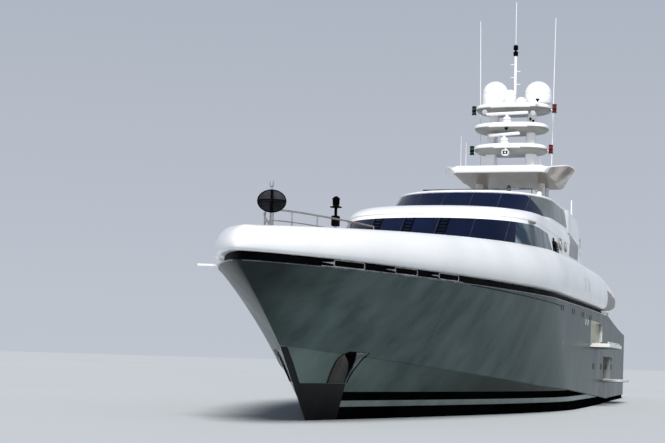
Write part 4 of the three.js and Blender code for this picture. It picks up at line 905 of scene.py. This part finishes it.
def guard_rail(half_line, foot, height):
    """Two bars on posts, about 1.5 m apart, along a line of (x, y) and its mirrored other half."""
    points = half_line + [(x, -y) for x, y in half_line[::-1]]
    for share, radius in ((1, 0.03), (0.55, 0.016)):
        rails.tube([(x, y, foot + height * share) for x, y in points], radius)
    for p, q in zip(points, points[1:]):
        for share in steps(0, 1, max(1, round(math.dist(p, q) / 1.5))):
            rails.lathe([(0.05, 0), (0.05, 0.03), (0.022, 0.05), (0.022, height)], *between(p, q, share), foot, sides=8)


guard_rail([(-15.2, 4.75), (-21.4, 4.75), (-23.2, 4.15), (-23.75, 2.9)], UPPER_DECK, 0.95)
guard_rail([(-13.4, 3.85), (-16.5, 3.65), (-19.7, 2.85)], BOAT_DECK_AFT, 0.9)
piece("guard_rails", rails, [STEEL])
aft_doors = Shape()
for x, half, low, high in ((-11, 3.1, 5.75, 7.75), (-8.6, 2.6, 8.95, 9.85)):
    edges = steps(-half, half, 4)
    for left, right in zip(edges, edges[1:]):
        aft_doors.box(x + 0.02, x - 0.05, left + 0.04, right - 0.04, low, high, edge=0.02)
        aft_doors.tube([(x - 0.07, right - 0.16, low + up) for up in (0.8, 0.55)], 0.02, kind=1)
    aft_doors.box(x + 0.02, x - 0.06, -half - 0.1, half + 0.1, high + 0.01, high + 0.12, kind=2, edge=0.02)
piece("aft_glass_doors", aft_doors, [GLASS, STEEL, SATIN])

# ---- hardtop, its fins curving down outside its flat underside
HARDTOP_RINGS = [
    (-9.55, 2.3, 2.38, 0.18, 0.32, 0.46), (-9.65, 2.45, 2.58, 0.1, 0.34, 0.53), (-9.9, 2.57, 2.75, 0.13, 0.42, 0.55),
    (-11, 2.6, 3.12, 0.09, 0.63, 0.55), (-12.2, 2.62, 3.52, 0.05, 0.8, 0.55), (-13, 2.65, 3.74, 0.02, 0.64, 0.55),
    (-14.4, 2.67, 3.25, -0.03, 0.4, 0.55), (-15.6, 2.68, 2.8, -0.07, 0.06, 0.55), (-15.75, 2.6, 2.66, 0, 0.1, 0.4),
]
rings = []
for x, under, tip, base, lift, top in curve(HARDTOP_RINGS, 5):
    rise = [(under + (tip - under) * u, base + (lift - base) * u ** 1.25) for u in (0.25, 0.5, 0.75)]
    half = [(0, base), (under - 0.12, base), (under, base + 0.01), *rise, (tip, lift), (tip - 0.01, lift + 0.04),
            (tip - 0.09, lift + 0.07), (min(2.35, under - 0.1), top), (0, top)]
    rings.append([(x, y, HARDTOP + z) for y, z in half + [(-y, z) for y, z in half[-2:0:-1]]])
# The underside's warm grey is painted shade
UNDERSIDE_PAINTED_SHADE = material("hardtop_underside_painted_shade", (118, 115, 110), (128, 125, 120), (0.3, 0.4), coat=0.1,
                      stretch=(0.5, 3, 1))
# The fin's warm, mottled colour is a painted reflection
FIN_PAINTED_REFLECTION = material("fin_painted_reflection", (128, 120, 112), (214, 203, 186), (0.2, 0.3), coat=0.2, scale=1.3,
                    stretch=(1, 1, 1.6), spread=(0.4, 0.6))


def hardtop_kind(at, normal, before):
    # Under the middle, faces looking down take painted shade
    if abs(at.y) < 2.6:
        return 1 if normal.z < -0.75 else 0
    # The port fin aft of its front takes the painted reflection
    return 2 if normal.z < 0.2 and at.y > 0 and at.x < -10.1 else 0


piece("hardtop_shell", Shape().rings(rings), [WHITE, UNDERSIDE_PAINTED_SHADE, FIN_PAINTED_REFLECTION], stands_for=["hardtop"],
      kinds=hardtop_kind, angle=40)
legs = Shape()
for _, side in SIDES:
    for x in (-13.5, -15.1):
        legs.tube([(x + 0.5 * (1 - 0.3 / 4.35), side * 1.8, BOAT_DECK_AFT + GAP), (x, side * 1.8, HARDTOP + 0.2)],
                  0.2, sides=24)
piece("hardtop_legs", legs, [WHITE])

# ---- mast
POLE_X, WHIP_X, DOME_FOOT = -14.6, -15.2, 17
STAGES = [
    ("mast_stage_1", HARDTOP_TOP, 14.5, -13.55, 2.12, 1.5, 0.45, 1.15, 0.31),
    ("mast_stage_2", 14.5, 15.75, -13.65, 2.14, 1.4, 0.35, 1.12, 0.27),
    ("mast_stage_3", 15.75, 17, -14.3, 2.19, 1.4, 0.1, 1.1, 0.26),
]
LEVELS = curve([(-0.5, 0.62), (-0.47, 0.78), (-0.38, 0.94), (-0.2, 1), (-0.06, 0.975), (0, 0.9)], 4)


def blunt(v, power):
    return math.copysign(abs(v) ** power, v)


def oval(x, y, half_x, half_y, z, power=0.75, count=72):
    """A ring like an ellipse with fuller corners."""
    return [(x + half_x * blunt(math.cos(a), power), y + half_y * blunt(math.sin(a), power), z) for a in turns(count)]


start = STAGES[0][3] - 0.1
for name, foot, top, x, half, length, fore, apart, wide in STAGES:
    stage = Shape().rings([oval(x, 0, length * share, half * share, top + z) for z, share in LEVELS])
    front, back = (start + x) / 2 + fore, (start + x) / 2 - 0.55
    for side in (1, -1):
        stage.rings([oval((front + back) / 2, side * apart, (front - back) / 2, wide, z, 0.5, 40)
                     for z in (foot + GAP, top - 0.3)])
    start = x
    # Faces looking down take the grey as painted shade
    skin(name, stage, [WHITE, LINER_AND_SHADE_GREY], kinds=lambda at, normal, before: int(normal.z < -0.35), angle=40)

sensor = Shape()
sensor.tube([(-12.15, -0.07, 14.02), (-12.15, -0.07, 14.2)], 0.06, sides=12)
for y0, y1, z0, z1 in ((-0.27, 0.13, 14.02, 14.08), (-0.27, 0.13, 13.76, 13.82), (-0.27, -0.21, 13.76, 14.08),
                       (0.07, 0.13, 13.76, 14.08)):
    sensor.box(-12.3, -11.98, y0, y1, z0, z1, edge=0.012)
sensor.box(-12.28, -12.02, -0.22, 0.08, 13.81, 14.03, kind=1, edge=0.01)
sensor.tube([(-12.02, -0.07, 13.92), (-11.99, -0.07, 13.92)], 0.06, kind=2, sides=16)
for y, z in ((-1.45, 16.45), (1.34, 16.33)):
    sensor.tube([(-13.3, y, z + 0.14), (-13.05, y, z + 0.04)], 0.04, sides=10)
    sensor.tube([(-13.1, y, z + 0.03), (-12.95, y, z), (-12.85, y, z - 0.02)], [0.06, 0.13, 0.14], sides=18)
    sensor.tube([(-12.85, y, z - 0.02), (-12.82, y, z - 0.025)], 0.12, kind=2, sides=18)
for y, z in ((1.2, 15.98), (1.36, 15.86)):
    sensor.box(-13.0, -12.85, y - 0.06, y + 0.06, z - 0.07, z + 0.07, kind=1, edge=0.015)
    sensor.tube([(-12.95, y, z - 0.05), (-12.95, y, 15.74)], 0.02, kind=1)
for x, y, z in ((-12.85, 1.6, 17.12), (-12.33, -0.08, 15.4)):
    sensor.lathe([(0.01, -0.16), (0.03, -0.14), (0.12, -0.02), (0.12, 0)], x, y, z, kind=1, sides=12)
sensor.tube([(-12.85, 1.6, 16.98), (-12.85, 1.6, 17.0)], 0.03, kind=1)
sensor.tube([(-12.5, -0.08, 15.45), (-12.33, -0.08, 15.4)], 0.03, kind=1)
for y, foot, top in ((1.55, 12.84, 13.6), (1.75, 12.84, 13.8), (-2.57, 12.86, 14.76), (-2.87, 12.9, 15.12)):
    sensor.tube([(-13.2, y, z) for z in (foot, foot + 0.2, top)], [0.03, 0.015, 0.01])
piece("mast_gear", sensor, [WHITE, BLACK, LENS])

for name, x, y, radius, height in (("radome_port", -14.3, 1.4, 0.78, 1.43),
                                   ("radome_starboard", -14.3, -1.1, 0.76, 1.5),
                                   ("small_dome", -13.6, -0.12, 0.34, 0.85), ("low_dome", -13.5, 0.55, 0.3, 0.38)):
    centre = height - radius
    profile = [(0, GAP), (radius * 0.8, GAP), (radius * 0.82, 0.06), (radius * 0.98, 0.1), (radius, 0.14),
               (radius, centre - 0.05), (radius - 0.008, centre - 0.035), (radius, centre - 0.02)]
    if centre < 0.2:
        profile = [(0, GAP), (radius * 0.97, GAP), (radius, 0.03)]
    profile += [(radius * math.cos(a), centre + radius * math.sin(a)) for a in steps(0, math.pi / 2, 12)]
    skin(name, Shape().lathe(profile, x, y, DOME_FOOT, sides=48), [WHITE], angle=40)

pole = Shape()
pole.lathe([(0.16, DOME_FOOT + GAP), (0.16, 17.06), (0.08, 17.12), (0.075, 20.05), (0.05, 20.1)], POLE_X, 0)
for z, side in ((18.36, 1), (18.79, -1), (19.14, 1), (19.55, -1)):
    pole.tube([(POLE_X, 0, z), (POLE_X, side * 0.3, z)], 0.022)
pole.lathe([(0.1, 20.06), (0.14, 20.1), (0.14, 20.32), (0.06, 20.34), (0.06, 20.42), (0.14, 20.44), (0.14, 20.66),
            (0.08, 20.72)], POLE_X, 0, kind=1)
pole.tube([(POLE_X, 0, 20.7), (POLE_X, 0, 23.3)], 0.022)
skin("mast_pole", pole, [WHITE, BLACK])
for name, side in SIDES:
    whip = Shape().lathe([(0.1, HARDTOP_TOP + GAP), (0.1, 12.9), (0.07, 12.95), (0.06, 13.3), (0.035, 13.4)], WHIP_X,
                         side * 2.1, sides=16)
    whip.tube([(WHIP_X, side * 2.1, 13.35), (WHIP_X, side * 2.25, 22.4)], [0.035, 0.02])
    skin(f"whip_{name}", whip, [WHITE])
    lamp_finishes = [WHITE, LAMP_BODY, RED] if side > 0 else [WHITE, BLACK, GREEN]
    for level, (_, _, top, x, half, *_) in (("low", STAGES[0]), ("high", STAGES[2])):
        y, z = side * (half + 0.17), top - 0.45
        arm = [(x, side * (half - 0.05), top - 0.25), (x, side * (half + 0.06), top - 0.3), (x, y, z - 0.02)]
        lamp = Shape().tube(curve(arm, 4), 0.035)
        lamp.lathe([(0, 0), (0.14, 0), (0.14, 0.03), (0.1, 0.05), (0.1, 0.18), (0.14, 0.2), (0.14, 0.24), (0.1, 0.26),
                    (0.1, 0.44), (0.14, 0.46), (0.14, 0.49), (0.06, 0.52), (0, 0.52)], x, y, z, kind=1)
        for low, high in ((0.05, 0.18), (0.26, 0.44)):
            lamp.lathe([(0.11, low), (0.125, low + 0.02), (0.125, high - 0.02), (0.11, high)], x, y, z, kind=2)
        piece(f"lamp_{level}_{name}", lamp, lamp_finishes, slot="red_lamp" if side > 0 else "black_paint",
              stands_for=[f"side_light_{level}_{name}"])

for name, x, y, base, length, turn in (("upper", -12.6, -0.1, 15.75, 2.5, -8), ("lower", -12.4, -0.2, 14.5, 2.0, -22)):
    stand = Shape().lathe([(0, GAP), (0.24, GAP), (0.24, 0.11), (0.2, 0.12), (0.2, 0.15), (0.235, 0.16),
                           (0.235, 0.25), (0.19, 0.3), (0, 0.3)], x, y, base, sides=24)
    piece(f"pedestal_{name}_skin", stand, [WHITE], stands_for=[f"radar_pedestal_{name}"])
    along = Matrix.Translation((x, y, base + 0.52)) @ Matrix.Rotation(math.radians(turn), 4, "Z")
    bar = Shape().rings([[tuple(along @ Vector((0.12 * s * blunt(math.cos(b), 0.6), u * length / 2,
                                                0.085 * s * blunt(math.sin(b), 0.6)))) for b in turns(20)]
                         for u, s in [(-1, 0.55), (-0.97, 0.85), (-0.92, 1), (0.92, 1), (0.97, 0.85), (1, 0.55)]])
    bar.lathe([(0, 0.3 + GAP), (0.09, 0.3 + GAP), (0.1, 0.36), (0.1, 0.45), (0, 0.46)], x, y, base)
    piece(f"scanner_{name}_skin", bar, [WHITE], body=f"radar_scanner_{name}", stands_for=[f"radar_scanner_{name}"])

# ---- bow fittings
BALL, BALL_RADIUS = (27.2, 0.2, 6.42), 0.42
staff = Shape().lathe([(0.09, DECK_FACE), (0.09, 5.66), (0.035, 5.7), (0.035, 6.9), (0.065, 6.92), (0.065, 7.06),
                       (0, 7.08)], 26.7, 0, sides=16)
staff.tube([(26.7, 0, 6.42), BALL], 0.02)
skin("jackstaff", staff, [STEEL])
ball = Shape()
ball_at = Matrix.Translation(BALL) @ Matrix.Rotation(math.atan2(0.2, 0.5), 4, "Z")


def on_ball(points):
    return [tuple(ball_at @ Vector(p)) for p in points]


for height, place in ((BALL_RADIUS, lambda u, v, w: (u, v, w)), (0.33, lambda u, v, w: (u, w, v)),
                      (0.33, lambda u, v, w: (w, u, v))):
    outline = [(BALL_RADIUS * math.cos(a), height * math.sin(a)) for a in turns(48)]
    ball.rings([on_ball(place(u, v, w) for u, v in outline) for w in (-0.012, 0.012)])
    ball.tube(on_ball(place(u * 0.97, v * 0.97, 0) for u, v in outline[::2]), 0.02, kind=1, around=True)
for end, radius, sides in (((0.41, 0, 0), 0.03, 8), ((0, 0.41, 0), 0.03, 8), ((0, 0, 0.32), 0.045, 10)):
    ball.tube(on_ball(([-v for v in end], end)), radius, kind=1, sides=sides)
skin("anchor_ball", ball, [BALL_CLOTH, BLACK])
lamp_post = Shape()
lamp_post.lathe([(0.1, DECK_FACE), (0.1, 5.68), (0.05, 5.74), (0.05, 6.42)], 20.3, 0, sides=16, kind=1)
lamp_post.box(20.17, 20.43, -0.12, 0.12, 6.4, 6.75, edge=0.02)
lamp_post.lathe([(0.05, 6.74), (0.05, 7.02), (0.2, 7.03), (0.2, 7.06), (0.11, 7.08), (0.1, 7.12), (0.12, 7.14),
                 (0.12, 7.28), (0.13, 7.3), (0.13, 7.34), (0.06, 7.4), (0, 7.42)], 20.3, 0)
piece("forward_lamp", lamp_post, [BLACK, STEEL], stands_for=["forward_lamp_post"])
rail = Shape()
PULPIT = [(21.6, 1.7), (23.2, 1.35), (24.9, 0.85), (26, 0.42), (26.5, 0)]
around_bow = PULPIT + [(x, -y) for x, y in PULPIT[-2::-1]]
for z, radius, sides in ((6.25, 0.028, 10), (5.93, 0.016, 8)):
    rail.tube([(x, y, z) for x, y in curve(around_bow, 6)], radius, sides=sides)
for x, y in around_bow:
    rail.lathe([(0.05, DECK_FACE), (0.05, 5.63), (0.022, 5.66), (0.022, 6.25)], x, y, sides=12)
piece("pulpit", rail, [STEEL], stands_for=["bow_rail"])

# Windlasses with their motors, and bollards
deck_gear = Shape()
for _, side in SIDES:
    x, y = 23.2, side * 0.62
    deck_gear.lathe([(0.34, 0), (0.34, 0.06), (0.26, 0.1), (0.2, 0.14), (0.2, 0.24), (0.28, 0.3), (0.3, 0.34),
                     (0.22, 0.38), (0.1, 0.4)], x, y, UPPER_DECK, sides=28)
    deck_gear.box(x - 0.75, x - 0.3, y - 0.2, y + 0.2, UPPER_DECK, 5.82, edge=0.04)
    for x, y in ((20.8, side * 2.2), (14.2, side * 3.9)):
        for shift in (-0.2, 0.2):
            deck_gear.lathe([(0.1, 0), (0.08, 0.05), (0.075, 0.26), (0.11, 0.29), (0.11, 0.32), (0.05, 0.34)],
                            x + shift, y, UPPER_DECK, sides=16)
        deck_gear.box(x - 0.36, x + 0.36, y - 0.12, y + 0.12, UPPER_DECK, 5.63, edge=0.01)
piece("foredeck_gear", deck_gear, [STEEL])
hatch = Shape()
for x in (18.0, 15.6):
    hatch.box(x - 0.42, x + 0.42, -0.42, 0.42, UPPER_DECK, 5.68, edge=0.04)
    hatch.box(x - 0.3, x + 0.3, -0.3, 0.3, 5.67, 5.7, kind=1, edge=0.01)
    hatch.tube([(x - 0.36, -0.1, 5.7), (x - 0.36, 0.1, 5.7)], 0.02, kind=2)
hatch.box(12.2, 13.6, -1.1, 1.1, UPPER_DECK, 6.02, edge=0.12)
hatch.box(12.3, 13.5, -1.0, 1.0, 6.0, 6.12, kind=3, edge=0.05)
piece("foredeck_hatches", hatch, [WHITE, GLASS, STEEL, SATIN])

# Low rails and a knob on the balcony, and trim on both fold-outs
for node_name, (x0, x1, hinge_y, foot, reach) in FOLD_OUTS.items():
    trim = Shape()
    y0, y1 = hull_y((x0 + x1) / 2, foot) + 0.1, hinge_y + reach - 0.05
    if node_name == "balcony":
        for x in steps(x0 + 0.25, x1 - 0.25, 6):
            trim.lathe([(0.04, 0), (0.04, 0.02), (0.016, 0.03), (0.016, 0.2)], x, y1 - 0.06, foot, sides=8)
        trim.tube([(x0 + 0.25, y1 - 0.06, foot + 0.2), (x1 - 0.25, y1 - 0.06, foot + 0.2)], 0.022)
        trim.lathe([(0.09, 0), (0.09, 0.1), (0.05, 0.13), (0.05, 0.2), (0.08, 0.22)], (x0 + x1) / 2 + 1.0, y0 + 0.25,
                   foot, kind=1, sides=12)
        for left, right, near, far in ((x0 + 0.03, x1 - 0.03, y1 - 0.02, y1 + 0.04),
                                       (x0 + 0.02, x0 + 0.08, y0 - 0.02, y1 - 0.01),
                                       (x1 - 0.08, x1 - 0.02, y0 - 0.02, y1 - 0.01)):
            trim.box(left, right, near, far, foot + 0.045, foot + 0.13, kind=2, edge=0.01)
    trim.box(x0 + 0.03, x1 - 0.03, hinge_y + 0.35, y1 + 0.02, foot - 0.085, foot - 0.045, kind=3, edge=0.01)
    piece(f"{node_name}_trim", trim, [WHITE, BLACK, SATIN, HULL_PAINTED_LIGHT], body=node_name)

# ---- CAD nodes that keep their shape
for finish, kept in ((WHITE, "mooring_flap aft_bulkhead"), (GLASS, "side_door_port side_door_starboard saloon_door"),
                     (TEAK, "swim_platform"), (HULL_PAINTED_LIGHT, "transom_door"),
                     (STEEL, "anchor_port anchor_starboard shaft_port shaft_starboard"),
                     (BRONZE, "shaft_bracket_port shaft_bracket_starboard propeller_port propeller_starboard"),
                     (BOTTOM, "rudder_port rudder_starboard stabiliser_fin_port stabiliser_fin_starboard")):
    for node_name in kept.split():
        dress(node_name, finish)
for node_name in FOLD_OUTS:
    dress(node_name, two_faced(SATIN, f"{node_name}_finish", False, -0.7, (64, 78, 76)))

# ---- floor, light, camera
FLOOR = 1500
floor_mesh = bpy.data.meshes.new("studio_floor")
floor_mesh.from_pydata([(x, y, 0) for x, y in ((-FLOOR, -FLOOR), (FLOOR, -FLOOR), (FLOOR, FLOOR), (-FLOOR, FLOOR))],
                       [], [(0, 1, 2, 3)])
floor_mesh.materials.append(material("studio_floor", (178, 182, 184), (181, 185, 187), (0.7, 0.8), scale=0.05,
                                     spec=0.0))
floor = plain_object("studio_floor", floor_mesh)

world = bpy.data.worlds.new("studio_light")
bpy.context.scene.world = world
world.use_nodes = True
tree = world.node_tree
height = node(tree, "SeparateXYZ", node(tree, "TexCoord").outputs["Generated"]).outputs["Z"]
heights = node(tree, "ValToRGB", height)
stops = heights.color_ramp.elements
stops[0].color = rgb(196, 202, 212)
stops[1].position, stops[1].color = 0.85, rgb(104, 116, 140)
stops.new(0.3).color = rgb(176, 184, 198)
background = tree.nodes["Background"]
tree.links.new(heights.outputs["Color"], background.inputs["Color"])
background.inputs["Strength"].default_value = 0.95

# The key light is soft and far away, and points along key_from
key_from = Vector((1, 0.25, 1.2))
sun = bpy.data.lights.new("key_light", "SUN")
sun.energy, sun.angle, sun.color = 4.3, math.radians(25), (1, 0.985, 0.96)
plain_object("key_light", sun).rotation_euler = key_from.to_track_quat("Z", "Y").to_euler()

LOOK, PITCH, ROLL, FOCAL_PX = math.radians(17.349), math.radians(5.801), 0.030, 1364.14
PHOTO_WIDTH, SENSOR_WIDTH = 665, 36
EYE = (63.945, 13.529, 1.913)
forward = Vector((-math.cos(LOOK) * math.cos(PITCH), -math.sin(LOOK) * math.cos(PITCH), math.sin(PITCH)))
right = Vector((-math.sin(LOOK), math.cos(LOOK), 0))
up = right.cross(forward)
c, s = math.cos(ROLL), math.sin(ROLL)
rolled_right, rolled_up = c * right + s * up, c * up - s * right
lens = bpy.data.cameras.new("photo_camera")
lens.sensor_width = 36
lens.sensor_width = SENSOR_WIDTH
lens.lens = FOCAL_PX * SENSOR_WIDTH / PHOTO_WIDTH
lens.clip_end = 5000
camera = plain_object("photo_camera", lens)
camera.matrix_world = Matrix.Translation([v * K for v in EYE]) @ Matrix(
    (rolled_right, rolled_up, -forward)).transposed().to_4x4()
bpy.context.scene.camera = camera
bpy.context.scene.view_settings.view_transform = "Standard"
